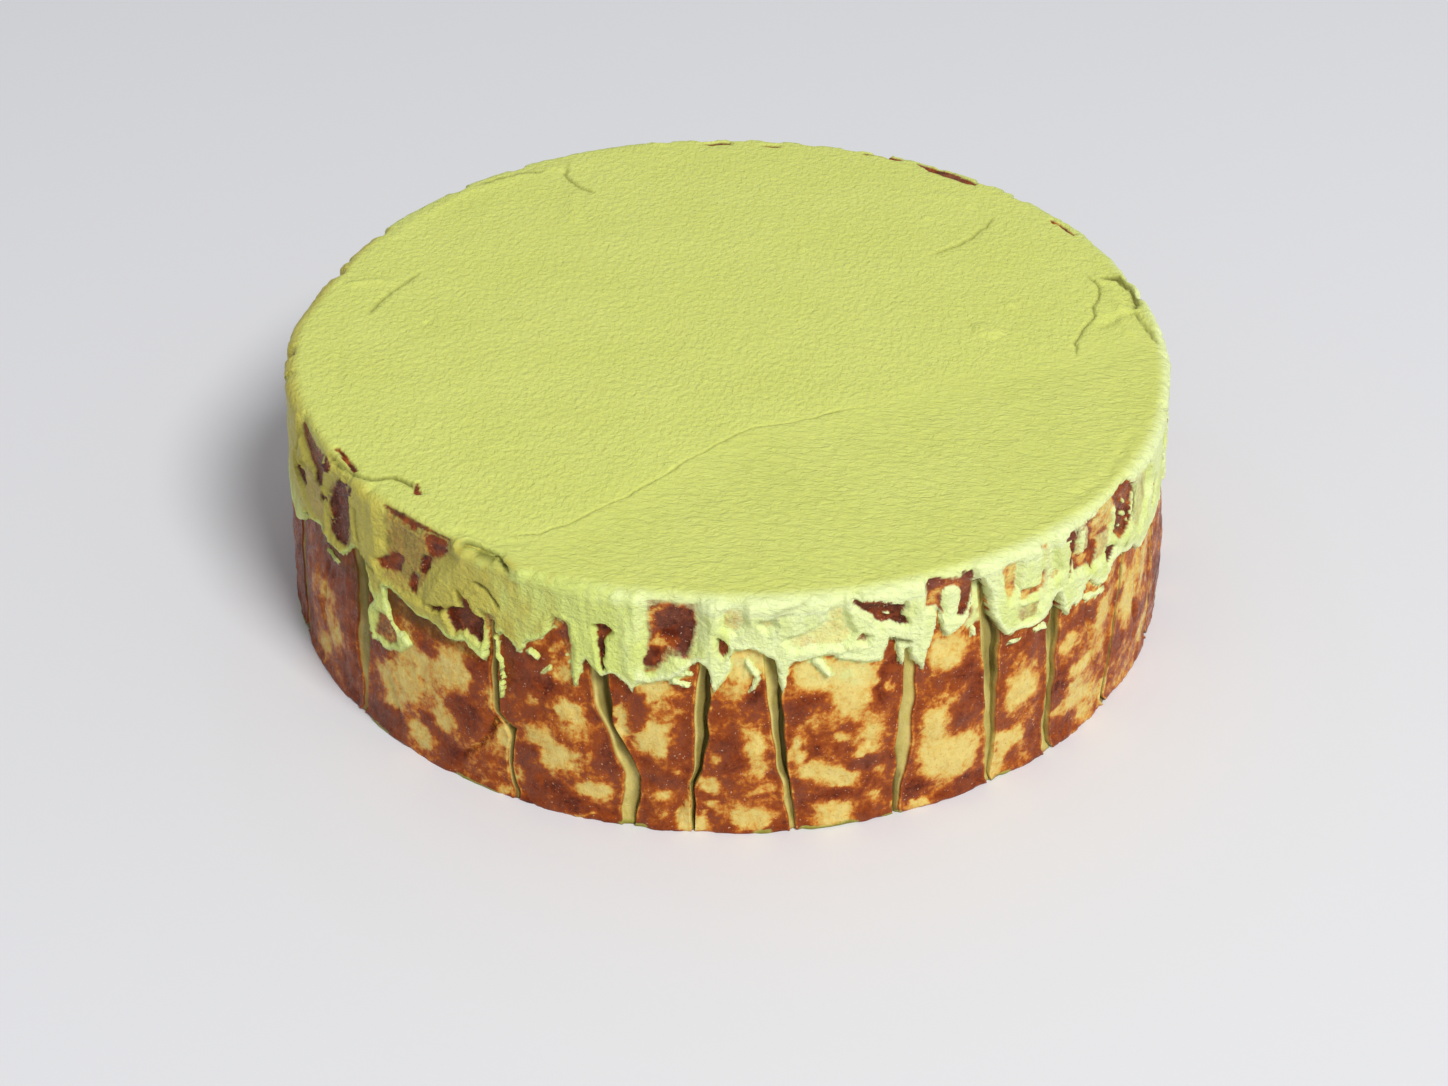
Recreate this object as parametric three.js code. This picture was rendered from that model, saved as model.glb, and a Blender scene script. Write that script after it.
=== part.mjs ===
// A round Basque cheesecake, 158 mm across its foot and 45.5 mm tall, in millimetres, +Z up.
// The origin is the middle of the base, and the side that is seen best faces -Y.
//
// It is two solids. The cheesecake's side is pressed into panels by the pleats of its baking
// paper, with a slot between each two. The pistachio cream lies over the top, turns over the
// edge and runs down the side in tongues, with bare patches where it was scraped thin.
//
// Angles are in degrees round the cake: 0 faces -Y, and they grow towards +X.
import * as THREE from "three";

const CREAM_TOP = 45.5;
const CAKE_TOP = 41.9;
const LEAN = 1.1; // how far +X the top stands of the foot
const FIT_GAP = 0.35; // between the cheesecake and the cream
const MM_PER_DEGREE = (78 * Math.PI) / 180; // along the side

// The cheesecake's side from the foot up: height, and radius in the middle of a panel.
const CAKE_ROWS = [
  [0, 77.7],
  [1.4, 78.7],
  [5, 79],
  [11, 78.8],
  [18, 78.4],
  [25, 77.9],
  [31, 77.2],
  [36, 76.5],
  [40, 75.6],
  [CAKE_TOP, 74],
];

// ---------------------------------------------------------------- helpers

const mix = (a, b, t) => a + (b - a) * t;
const clamp = (x, low, high) => Math.min(high, Math.max(low, x));
const smooth = (a, b, x) => {
  const t = clamp((x - a) / (b - a), 0, 1);
  return t * t * (3 - 2 * t);
};
const count = (n, make) => Array.from({ length: n }, (_, i) => make(i));

// The same scattered number from -0.5 to 0.5 for the same item and use, each time.
function scatter(item, use) {
  const x = Math.sin(item * 12.9898 + use * 78.233) * 43758.5453;
  return x - Math.floor(x) - 0.5;
}

// The shorter way round from one angle to another.
const turn = (from, to) => ((((to - from) % 360) + 540) % 360) - 180;

function place(angle, radius, z) {
  const a = (angle * Math.PI) / 180;
  const lean = (LEAN * z) / CREAM_TOP;
  return [lean + radius * Math.sin(a), -radius * Math.cos(a), z];
}

function cakeRadius(z) {
  const above = CAKE_ROWS.findIndex(([height]) => height >= z);
  if (above <= 0) return CAKE_ROWS[0][1];
  const [z0, r0] = CAKE_ROWS[above - 1];
  const [z1, r1] = CAKE_ROWS[above];
  return mix(r0, r1, (z - z0) / (z1 - z0));
}

function closedGeometry(positions, index) {
  const geometry = new THREE.BufferGeometry();
  geometry.setAttribute("position", new THREE.Float32BufferAttribute(positions, 3));
  geometry.setIndex(index);
  geometry.computeVertexNormals();
  return geometry;
}

// ---------------------------------------------------------------- slots

// One for each pleat of the paper: its angle at the top and at the foot, how far it bows
// between them, and its width at the top and at the foot.
const slot = (top, foot, bow, widthTop, widthFoot) => ({ top, foot, bow, widthTop, widthFoot });

const FRONT_SLOTS = [
  slot(-68.5, -68, 0, 1.6, 1.4),
  slot(-49.2, -49.8, 0, 3.2, 1.6),
  slot(-27.8, -25.4, 0.2, 1.7, 1.2),
  slot(-15.4, -10.4, 0.3, 2.6, 2.2),
  slot(-2.4, -3.5, 0.2, 2.5, 1.2),
  slot(4.3, 8.3, -0.3, 2.7, 1.4),
  slot(21.0, 20.5, 0.3, 2.4, 1.4),
  slot(29.7, 33.0, 0.6, 2.8, 1.7),
  slot(41.2, 42.1, 0, 2.4, 2.0),
  slot(56.4, 54.2, 0, 1.7, 1.5),
];
// Round the back they go on by a rule, from the last front slot to the first.
const BACK_SLOTS = 16;
const BACK_START = 56;
const BACK_PITCH = 13.85;

function backSlot(i) {
  const angle = BACK_START + BACK_PITCH * (i + 1) + 4 * scatter(i, 1);
  const lean = 4 * scatter(i, 2);
  const width = 2.1 + 1.3 * scatter(i, 3);
  return slot(angle + lean / 2, angle - lean / 2, 0.6 * scatter(i, 4), width + 0.4, width - 0.5);
}

const SLOTS = [...FRONT_SLOTS, ...count(BACK_SLOTS, backSlot)];
const SLOT_DEPTH = 4;
const SLOT_WALL = 0.45; // a wall's run round the cake, from its lip to the floor
const SLOT_CLOSES_AT = 39; // above this the slot runs out into the cake's edge

function slotCentre(s, z) {
  const t = z / CAKE_TOP;
  return mix(s.foot, s.top, t) + s.bow * 4 * t * (1 - t);
}

const slotHalf = (s, z) => mix(s.widthFoot, s.widthTop, z / CAKE_TOP) / 2;

const slotDepth = (z) =>
  SLOT_DEPTH * (1 - 0.95 * smooth(SLOT_CLOSES_AT - 2, CAKE_TOP, z)) * smooth(-3, 5, z);

// ---------------------------------------------------------------- cheesecake

const PANEL_COLUMNS = 3; // columns between a panel's two lips
const PANEL_CROWN = 0.45; // a panel's middle stands this proud of its lips

// One row's points, once round: each slot's lip, floor, floor and lip, and then its panel.
function cakeRing([z, radius]) {
  const lipRadius = radius - PANEL_CROWN;
  const depth = slotDepth(z);
  return SLOTS.flatMap((s, i) => {
    const next = SLOTS[(i + 1) % SLOTS.length];
    const centre = slotCentre(s, z);
    const lip = slotHalf(s, z) / MM_PER_DEGREE;
    const floor = Math.max(0.1, slotHalf(s, z) - SLOT_WALL) / MM_PER_DEGREE;
    const span = turn(centre, slotCentre(next, z)) - lip - slotHalf(next, z) / MM_PER_DEGREE;
    const panel = count(PANEL_COLUMNS, (k) => {
      const t = (k + 1) / (PANEL_COLUMNS + 1);
      return [centre + lip + span * t, lipRadius + PANEL_CROWN * Math.sin(Math.PI * t)];
    });
    const pressed = [
      [centre - lip, lipRadius - 0.1],
      [centre - floor, lipRadius - depth],
      [centre + floor, lipRadius - depth],
      [centre + lip, lipRadius - 0.1],
    ];
    return [...pressed, ...panel].map(([angle, r]) => place(angle, r, z));
  });
}

function cheesecakeGeometry() {
  const rings = CAKE_ROWS.map(cakeRing);
  const n = rings[0].length;
  const middle = rings.length * n;
  const positions = [...rings.flat(2), ...place(0, 0, 0), ...place(0, 0, CAKE_TOP)];
  const index = [];
  const last = middle - n;
  for (let c = 0; c < n; c++) {
    const d = (c + 1) % n;
    for (let low = 0; low < last; low += n) {
      index.push(low + c, low + d, low + n + d);
      index.push(low + c, low + n + d, low + n + c);
    }
    index.push(middle, d, c);
    index.push(middle + 1, last + c, last + d);
  }
  return closedGeometry(positions, index);
}

// ---------------------------------------------------------------- where the cream lies

// A smear of cream, or a scraped patch, from one place on the side to another. Each end has an
// angle, a height and a half width.
const smear = (a0, z0, w0, a1, z1, w1) => ({ a0, z0, w0, a1, z1, w1 });

const BAND_FOOT = 43; // above this the cream covers the side all round
const RUN_TOP = 45; // where a run leaves the shoulder

// A run of cream down from the shoulder to its tip.
const run = (top, topHalf, tip, tipZ, tipHalf) => smear(top, RUN_TOP, topHalf, tip, tipZ, tipHalf);

const FRONT_RUNS = [
  run(-79, 8, -77, 32, 3.5),
  run(-72, 5, -71.5, 28, 3.6),
  run(-66, 5, -66, 29, 2.3),
  run(-61, 5, -61.5, 34, 3),
  run(-48, 5.5, -48, 36.5, 4.6),
  smear(-47.6, 37, 3, -45.2, 21.5, 3.2),
  run(-42, 5, -42, 34.5, 3.6),
  run(-37, 5, -37, 33, 3.4),
  run(-33, 4.5, -33.2, 31.2, 2.6),
  run(-27.5, 4.5, -26.6, 35, 2.7),
  run(-24, 4, -24.7, 32.6, 1.6),
  run(-21.5, 4, -21.5, 37, 2),
  run(-18.3, 3.5, -17.4, 31.4, 1.4),
  run(-15.8, 2.5, -15, 31.4, 1.2),
  run(-12, 3.2, -10.9, 29.4, 1.4),
  smear(-10, 31.5, 2, -4.2, 34.6, 2),
  run(-2.6, 3.2, -1.7, 31.4, 1.5),
  run(1.5, 4.5, 1.8, 38.6, 2.4),
  run(5.2, 3, 5.8, 33, 1.3),
  smear(6, 35.8, 1.8, 16.5, 34.4, 1.8),
  smear(14.5, 38.4, 1.5, 20.6, 36.8, 1.5),
  run(21.4, 3, 21.8, 31, 1.4),
  smear(25.4, 43, 2.2, 25.2, 37, 1.7),
  run(33, 4, 34.6, 31.8, 2),
  run(36, 4, 36.6, 32, 2.2),
  run(38.8, 3, 39, 32.2, 2),
  run(41, 3, 41.2, 36, 1.7),
  run(43.6, 2.6, 43.6, 31.2, 1.5),
  run(45.4, 2.4, 45.6, 32, 1.6),
  run(49, 2.2, 48.6, 34, 1.6),
  smear(49.5, 36, 1.4, 53.6, 32.8, 1.7),
  run(58, 4, 58, 33, 2.4),
  run(62, 4, 62, 32, 2.8),
  run(66, 4, 66, 32.2, 2.4),
];
const FRONT_PATCHES = [
  smear(-66.5, 44, 1.5, -62.5, 43.6, 1.5),
  smear(-60.5, 42.5, 1.5, -59.3, 40.2, 1.5),
  smear(-55.5, 44.5, 3, -54.6, 30, 3.2),
  smear(-38.6, 42, 1.4, -40.6, 38, 1.4),
  smear(-36.4, 45, 1.5, -36, 42.4, 1.5),
  smear(-32, 33.6, 1.5, -30.6, 36.8, 1.5),
  smear(-6.5, 41.4, 3.1, -8, 36.2, 2),
  smear(9.4, 39.6, 1.8, 12.6, 40.4, 2.2),
  smear(15.6, 42, 1.7, 18.8, 40.6, 1.7),
  smear(24, 43.4, 2, 27.6, 40.6, 2.4),
  smear(29.6, 43, 1.1, 30.4, 38, 1.7),
  smear(33.3, 42.6, 1.3, 33.4, 39, 1.3),
  smear(46.4, 43, 1.4, 46.4, 37.6, 1.4),
  smear(53.4, 44.4, 3, 53.4, 37.4, 3),
  smear(64, 38, 1.4, 65.4, 35.2, 1.4),
];

// Round the back the runs and patches go on by a rule.
const BACK_FROM = 71;
const BACK_TO = 277;
const BACK_STEP = 5.6;
const BACK_RUNS = [];
const BACK_PATCHES = [];
for (let i = 0; BACK_FROM + BACK_STEP * i < BACK_TO; i++) {
  const angle = BACK_FROM + BACK_STEP * i + 2 * scatter(i, 11);
  const tip = 33.4 + 7 * scatter(i, 12);
  BACK_RUNS.push(run(angle, 4.4, angle + 2 * scatter(i, 13), tip, 2.4 + 1.4 * scatter(i, 14)));
  if (scatter(i, 15) > 0.2) {
    const patch = angle + 2.5;
    BACK_PATCHES.push(smear(patch, 42.5, 1.6, patch + scatter(i, 16), 39, 1.5));
  }
}
const RUNS = [...FRONT_RUNS, ...BACK_RUNS];
const PATCHES = [...FRONT_PATCHES, ...BACK_PATCHES];

// How far a place lies inside a smear's edge, negative outside, in millimetres.
function insideSmear(s, angle, z) {
  const x = turn(s.a0, angle) * MM_PER_DEGREE;
  const y = z - s.z0;
  const dx = turn(s.a0, s.a1) * MM_PER_DEGREE;
  const dy = s.z1 - s.z0;
  const t = clamp((x * dx + y * dy) / (dx * dx + dy * dy), 0, 1);
  return mix(s.w0, s.w1, t) - Math.hypot(x - dx * t, y - dy * t);
}

const insideAny = (smears, angle, z) =>
  smears.reduce((most, s) => Math.max(most, insideSmear(s, angle, z)), -99);

// How far a place lies inside the cream, negative on bare crust.
const creamInside = (angle, z) =>
  Math.min(Math.max(z - BAND_FOOT, insideAny(RUNS, angle, z)), -insideAny(PATCHES, angle, z));

// ---------------------------------------------------------------- cream

// Columns stand closer round the front, where the runs are seen best.
const FRONT_REACH = 88;
const FRONT_COLUMNS = 140;
const BACK_COLUMNS = 54;
const ANGLES = [
  ...count(FRONT_COLUMNS, (c) => mix(-FRONT_REACH, FRONT_REACH, c / FRONT_COLUMNS)),
  ...count(BACK_COLUMNS, (c) => mix(FRONT_REACH, 360 - FRONT_REACH, c / BACK_COLUMNS)),
];
const SHOULDER = 43.8; // the height of the skirt's first row
const SKIRT_FOOT = 17; // below the longest run
const SKIRT_ROWS = 16;
const HEIGHTS = count(SKIRT_ROWS + 1, (r) => mix(SHOULDER, SKIRT_FOOT, r / SKIRT_ROWS));

// The outside of the top, from the middle out over the shoulder: radius and height.
const TOP_OUTSIDE = [
  [60, CREAM_TOP],
  [72.5, CREAM_TOP - 0.15],
  [75.4, CREAM_TOP - 0.7],
];
const TOP_UNDERSIDE = [
  [40, CAKE_TOP + FIT_GAP],
  [74.4, CAKE_TOP + FIT_GAP],
];

// The outline swells and shrinks by up to this much.
const EDGE_SWELL = 0.45;

function swell(angle) {
  const a = (angle * Math.PI) / 180;
  const waves = Math.sin(3 * a + 0.8) + 0.7 * Math.sin(7 * a + 2.1) + 0.5 * Math.sin(17 * a);
  return (EDGE_SWELL * waves) / 2.2;
}

// The skirt's inside keeps to the cheesecake, and stops just short of the top's height.
function skirtInner(angle, z) {
  const up = clamp((z - 40) / (SHOULDER - 40), 0, 1);
  const innerZ = z > 40 ? mix(40, 41.4, up) : z;
  return place(angle, cakeRadius(innerZ) + FIT_GAP + 0.25 * up, innerZ);
}

// Its outside stands proud by more towards the shoulder and away from the cream's edge.
function skirtOuter(angle, z) {
  const edge = mix(0.75, 1, smooth(0, 2.5, creamInside(angle, z)));
  const thick = mix(0.65, 1.15, smooth(30, 40, z)) * edge;
  const radius = cakeRadius(Math.min(z, 38)) + FIT_GAP + thick;
  return place(angle, radius + swell(angle) * smooth(36, SHOULDER, z), z);
}

// Which corners of the skirt's grid hold cream that hangs from the shoulder.
function hangingCorners() {
  const hangs = HEIGHTS.map(() => ANGLES.map(() => false));
  const queue = ANGLES.map((_, c) => [0, c]);
  while (queue.length) {
    const [r, column] = queue.pop();
    const c = (column + ANGLES.length) % ANGLES.length;
    if (r < 0 || r > SKIRT_ROWS || hangs[r][c]) continue;
    if (r > 0 && creamInside(ANGLES[c], HEIGHTS[r]) <= 0) continue;
    hangs[r][c] = true;
    for (const dr of [-1, 0, 1]) for (const dc of [-1, 0, 1]) queue.push([r + dr, c + dc]);
  }
  return hangs;
}

// The skirt as polygons on its grid, one to a cell, cut where the cream's edge crosses the cell.
function skirtPolygons() {
  const hangs = hangingCorners();
  const places = []; // the angle and height of each corner and crossing
  const known = new Map();
  const share = (key, make) => {
    if (!known.has(key)) known.set(key, places.push(make()) - 1);
    return known.get(key);
  };
  const cornerAt = ([r, c]) => share(`${r} ${c}`, () => [ANGLES[c], HEIGHTS[r]]);
  const crossingAt = (p, q) => {
    const [from, to] = hangs[p[0]][p[1]] ? [p, q] : [q, p];
    return share(`${from} to ${to}`, () => {
      const [a, z] = [ANGLES[from[1]], HEIGHTS[from[0]]];
      const [da, dz] = [turn(a, ANGLES[to[1]]), HEIGHTS[to[0]] - z];
      const here = Math.max(0.01, creamInside(a, z));
      const there = Math.min(-0.01, creamInside(a + da, z + dz));
      const t = clamp(here / (here - there), 0.12, 0.88);
      return [a + da * t, z + dz * t];
    });
  };
  const polygons = [];
  for (let r = 0; r < SKIRT_ROWS; r++)
    for (let c = 0; c < ANGLES.length; c++) {
      const d = (c + 1) % ANGLES.length;
      const corners = [[r, c], [r + 1, c], [r + 1, d], [r, d]];
      const polygon = corners.flatMap((p, k) => {
        const q = corners[(k + 1) % 4];
        const [inP, inQ] = [hangs[p[0]][p[1]], hangs[q[0]][q[1]]];
        const own = inP ? [{ at: cornerAt(p), edge: false }] : [];
        return inP === inQ ? own : [...own, { at: crossingAt(p, q), edge: true }];
      });
      if (polygon.length) polygons.push(polygon);
    }
  return { places, polygons, rim: ANGLES.map((_, c) => cornerAt([0, c])) };
}

function creamGeometry() {
  const { places, polygons, rim } = skirtPolygons();
  const inner = places.length; // the inside's points follow the outside's
  const positions = [
    ...places.flatMap(([a, z]) => skirtOuter(a, z)),
    ...places.flatMap(([a, z]) => skirtInner(a, z)),
  ];
  const index = [];
  const point = (p) => positions.push(...p) / 3 - 1;
  const quad = (a, b, c, d) => index.push(a, b, c, a, c, d);

  for (const polygon of polygons)
    polygon.forEach((p, k) => {
      const q = polygon[(k + 1) % polygon.length];
      if (k > 0 && k + 1 < polygon.length) {
        index.push(polygon[0].at, p.at, q.at);
        index.push(inner + polygon[0].at, inner + q.at, inner + p.at);
      }
      if (p.edge && q.edge) quad(q.at, p.at, inner + p.at, inner + q.at);
    });

  // Rings from the middle out to the skirt's rim, facing up (1) or down (-1).
  const cover = (rows, rimPoints, facing) => {
    const middle = point(place(0, 0, rows[0][1]));
    const ring = ([radius, z]) =>
      ANGLES.map((a) => point(place(a, radius + swell(a) * smooth(60, 74, radius), z)));
    const rings = [...rows.map(ring), rimPoints];
    for (let c = 0; c < ANGLES.length; c++) {
      const d = (c + 1) % ANGLES.length;
      const [l, m] = facing > 0 ? [c, d] : [d, c];
      index.push(middle, rings[0][l], rings[0][m]);
      for (let r = 0; r + 1 < rings.length; r++)
        quad(rings[r][l], rings[r + 1][l], rings[r + 1][m], rings[r][m]);
    }
  };
  cover(TOP_OUTSIDE, rim, 1);
  cover(TOP_UNDERSIDE, rim.map((p) => inner + p), -1);
  return closedGeometry(positions, index);
}

// ---------------------------------------------------------------- the two solids

function solid(name, geometry, color, roughness) {
  const material = new THREE.MeshStandardMaterial({ color, roughness, metalness: 0 });
  const mesh = new THREE.Mesh(geometry, material);
  mesh.name = name;
  return mesh;
}

const cake = new THREE.Group();
cake.name = "basque_cheesecake";
cake.add(solid("cheesecake", cheesecakeGeometry(), 0x9c5a30, 0.4));
cake.add(solid("pistachio_cream", creamGeometry(), 0xd5db78, 0.5));

export default cake;
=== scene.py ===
import math

import bmesh
import bpy
import numpy as np
from mathutils import Matrix, Vector


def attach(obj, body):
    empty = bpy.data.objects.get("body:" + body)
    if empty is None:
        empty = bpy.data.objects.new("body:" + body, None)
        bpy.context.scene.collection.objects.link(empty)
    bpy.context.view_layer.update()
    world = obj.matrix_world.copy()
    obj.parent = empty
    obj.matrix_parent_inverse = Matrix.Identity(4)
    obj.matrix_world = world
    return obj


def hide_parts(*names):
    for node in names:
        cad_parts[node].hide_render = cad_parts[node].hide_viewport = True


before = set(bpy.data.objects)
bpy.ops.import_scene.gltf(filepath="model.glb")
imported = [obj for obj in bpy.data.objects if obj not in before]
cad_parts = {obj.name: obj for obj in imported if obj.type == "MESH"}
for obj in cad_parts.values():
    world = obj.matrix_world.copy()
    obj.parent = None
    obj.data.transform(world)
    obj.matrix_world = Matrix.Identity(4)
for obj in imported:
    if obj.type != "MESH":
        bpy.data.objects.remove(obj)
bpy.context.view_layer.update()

MM = 0.001
HEIGHT = 45.5  # of the whole
HIGHEST = 45.48  # the most that the cream may reach
WIDEST = 78.68  # and the crust's largest radius
CAKE_TOP = 41.9
CREAM_TOP = 45.35
LEAN = 1.1  # how far towards +X the top's middle stands from the foot's
MM_PER_DEGREE = math.radians(78)  # along the side
EYE = (LEAN, -361.8, 259.9)  # from where the cake is looked at, in mm

# The cheesecake's side from the foot up: height, and radius in the middle of a panel.
CAKE_ROWS = np.array([
    (0, 78.3), (1.4, 78.9), (5, 79), (11, 78.8), (18, 78.4), (25, 77.9), (31, 77.2),
    (36, 76.5), (40, 75.6), (CAKE_TOP, 74),
])


# ---------------------------------------------------------------- helpers

def mix(a, b, t):
    return a + (b - a) * t


def smooth(a, b, x):
    t = np.clip((x - a) / (b - a), 0, 1)
    return t * t * (3 - 2 * t)


def hump(x, width):
    """1 at zero, falling away to both sides over the width."""
    return np.exp(-((x / width) ** 2))


def turn(start, end):
    """The shorter way round from one angle to another, in degrees."""
    return (end - start + 180) % 360 - 180


def scatter(item, use):
    """The same scattered number from -0.5 to 0.5 for the same item and use, each time."""
    x = np.sin(item * 12.9898 + use * 78.233) * 43758.5453
    return x - np.floor(x) - 0.5


def cake_radius(z):
    """The plain side's radius at a height."""
    return np.interp(z, CAKE_ROWS[:, 0], CAKE_ROWS[:, 1])


def place(angle, radius, z):
    """The point at an angle round the cake, so far out and so high."""
    a = np.radians(angle)
    return np.stack([LEAN * z / HEIGHT + radius * np.sin(a), -radius * np.cos(a), z], -1)


# The plain side that the outlines of the front were read on: its radius at foot and top.
SEEN_FOOT = 78.95
SEEN_TOP = 77.2


def as_seen(angle, radius, z):
    """The angle and height at which a place of the front shows on that plain side, from the
    eye. Outlines are given there, so that they fall where they show."""
    a = np.radians(angle)
    to_eye = np.array(EYE) - place(angle, radius, z)
    outwards = to_eye[:, 0] * np.sin(a) - to_eye[:, 1] * np.cos(a)
    sideways = to_eye[:, 0] * np.cos(a) + to_eye[:, 1] * np.sin(a)
    front = 1 - smooth(60, 80, np.abs(turn(0, angle)))
    share = front * (mix(SEEN_FOOT, SEEN_TOP, z / HEIGHT) - radius) / np.maximum(outwards, 90)
    return angle + np.degrees(share * sideways / radius), z + share * to_eye[:, 2]


random = np.random.default_rng(11)
SHUFFLED = np.tile(random.permutation(256), 2)
LEANINGS = random.normal(size=(3, 256)).astype(np.float32)
LEANINGS /= np.linalg.norm(LEANINGS, axis=0)


def ripple(points, size, seed):
    """Smooth noise from about -1 to 1 whose swells lie about size mm apart. Each seed gives
    other swells."""
    p = (points / np.asarray(size, float) + seed * 13.7).T
    corner = np.floor(p)
    x, y, z = (p - corner).astype(np.float32)
    cx, cy, cz = corner.astype(int)
    ease_x, ease_y, ease_z = (t * t * t * (t * (t * 6 - 15) + 10) for t in (x, y, z))
    total = np.zeros(len(x), np.float32)
    for i in (0, 1):
        in_x = SHUFFLED[cx + i & 255]
        share_x = ease_x if i else 1 - ease_x
        for j in (0, 1):
            in_xy = SHUFFLED[in_x + (cy + j & 255)]
            share_xy = share_x * (ease_y if j else 1 - ease_y)
            for k in (0, 1):
                lean_x, lean_y, lean_z = LEANINGS[:, SHUFFLED[in_xy + (cz + k & 255)]]
                value = lean_x * (x - i) + lean_y * (y - j) + lean_z * (z - k)
                total += share_xy * (ease_z if k else 1 - ease_z) * value
    return total * 1.6


def near_path(path, x, y):
    """For each place: how far off the path it lies, on which side, and how far along, 0 to 1."""
    path = np.array(path, float)
    best, side, along = np.full(len(x), 1e9), np.zeros(len(x)), np.zeros(len(x))
    lengths = np.linalg.norm(np.diff(path, axis=0), axis=1)
    starts = np.concatenate([[0], np.cumsum(lengths)])
    for a, b, start, length in zip(path, path[1:], starts, lengths):
        d = (b - a) / length
        across_x, across_y = x - a[0], y - a[1]
        t = np.clip(across_x * d[0] + across_y * d[1], 0, length)
        off = np.hypot(across_x - d[0] * t, across_y - d[1] * t)
        nearer = off < best
        best = np.where(nearer, off, best)
        side = np.where(nearer, np.sign(d[0] * across_y - d[1] * across_x), side)
        along = np.where(nearer, (start + t) / starts[-1], along)
    return best, side, along


def unrolled(path):
    """A path of angles and heights on the side, in mm."""
    return [(a * MM_PER_DEGREE, h) for a, h in path]


def flat_points(x, y):
    return np.stack([x, y, np.zeros(len(x))], -1)


def inside_outline(outline, x, z):
    """How many mm a place lies inside a closed outline of angles and heights."""
    ring = unrolled(outline + outline[:1])
    off, _, _ = near_path(ring, x, z)
    inside = np.zeros(len(x), bool)
    for (x0, z0), (x1, z1) in zip(ring, ring[1:]):
        if z0 != z1:
            inside ^= ((z0 > z) != (z1 > z)) & (x < (x1 - x0) * (z - z0) / (z1 - z0) + x0)
    return np.where(inside, off, -off)


# ---------------------------------------------------------------- slots

# One for each pleat of the paper: its depth, the side of its steep wall (1 is +X), and rows of
# height, left and right angle, and where across it the gap under that wall begins (-1 to 1).
FRONT_SLOTS = [
    (1.6, 1, [(0, -68.7, -67.4, 0.3), (42, -69.3, -67.7, 0.3)]),
    (1.7, 1, [(0, -49.8, -49, 0.5), (6, -50, -49, 0.5), (9, -50.6, -48.9, 0.5),
     (13, -51.1, -48.3, 0.4), (19, -50.3, -47.9, 0.4), (25, -50.5, -48.2, 0), (31, -51.2, -47.7, -0.3),
     (42, -50.6, -48, 0)]),
    (1.8, 1, [(0, -24.9, -24.1, 0.2), (3, -25.5, -24.7, 0), (7, -26, -25.3, 0),
     (12, -25.7, -24.9, 0.2), (14.5, -26.6, -24.9, -0.6), (16.5, -27.9, -26.9, 0),
     (30, -28.2, -27.3, 0), (42, -28.6, -27.6, 0)]),
    (3.6, 1, [(0, -11.4, -9.9, 0.7), (3, -11.9, -9.8, 0.65), (7, -11.1, -9.4, 0.65),
     (10, -11.4, -9.4, 0.6), (14, -12.6, -10.5, 0.4), (18, -13.5, -12, -0.1), (20, -14, -12.7, -0.2),
     (24, -15.2, -13.1, -0.2), (28, -15.7, -13.5, -0.3), (33, -16, -14.3, -0.3),
     (42, -16.2, -14.6, 0)]),
    (3.4, 1, [(0, -3.5, -3.1, 0.2), (6, -3.7, -3.1, 0.2), (9, -3.8, -3.1, 0.2), (12, -3.5, -2.5, 0.2),
     (18, -3.5, -2.1, 0.2), (26, -3.6, -1.8, 0.2), (32, -3.5, -1.8, 0.1), (42, -3.6, -1.6, 0)]),
    (3.2, 1, [(0, 8, 8.7, 0.8), (5, 7.2, 8.2, 0.8), (10, 6.7, 7.8, 0.5), (15, 5.9, 7.1, 0),
     (21, 5.1, 6.5, 0.1), (25, 4.6, 6.5, 0.4), (28, 4.4, 6.3, 0.5), (34, 3.7, 5.8, 0.3),
     (42, 3.2, 5, 0)]),
    (2.0, -1, [(0, 20.3, 21.1, 0), (6, 20.2, 21.2, 0.1), (9, 20.1, 21.6, 0.5), (14, 20, 22.1, 0.75),
     (20, 20.2, 21.8, 0.75), (28, 20.2, 21.8, 0.7), (34, 20.1, 21, 0.7), (42, 20, 21.2, 0.7)]),
    (3.4, 1, [(0, 32.9, 33.5, 0.7), (5, 32.6, 33.8, 0.8), (10, 32, 33.8, 0.8), (14, 31.8, 33.5, 0.7),
     (20, 31.4, 33.2, 0.5), (24, 30.8, 32.9, 0.3), (28, 30.2, 33.2, 0.4), (32, 29.8, 32.6, 0.4),
     (42, 28.6, 30.6, 0.3)]),
    (3.0, 1, [(0, 41.5, 43.1, 0.6), (5, 41.6, 43.1, 0.65), (10, 41.3, 42.9, 0.65),
     (20, 40.9, 42.5, 0.65), (26, 40.3, 42.6, 0.3), (31, 40.1, 42.1, 0.2), (42, 40, 41.8, 0.2)]),
    (1.8, 1, [(0, 53.6, 54.6, 0.3), (42, 55.6, 56.8, 0.3)]),
]

# Round the back they go on from the last of these, so many degrees apart.
BACK_SLOTS = 16
BACK_START = 56
BACK_PITCH = 13.85


def back_slot(i):
    """A slot round the back, like those of the front: it leans, bows and widens upwards."""
    angle = BACK_START + BACK_PITCH * (i + 1) + 4 * scatter(i, 1)
    lean = 4 * scatter(i, 2)
    width = 2.1 + 1.3 * scatter(i, 3)
    bow = 0.6 * scatter(i, 4)
    depth = 3 + 1.6 * scatter(i, 5)
    steep_side = 1 if scatter(i, 6) > -0.2 else -1
    gap = 0.2 + 0.6 * scatter(i, 7)
    rows = []
    for t in (0, 0.25, 0.5, 0.75, 1):
        middle = angle + lean * (t - 0.5) + 4 * bow * t * (1 - t)
        half = width / 2 / MM_PER_DEGREE * mix(0.75, 1.2, t)
        rows.append((t * CAKE_TOP, middle - half, middle + half, gap))
    return depth, steep_side, rows


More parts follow.
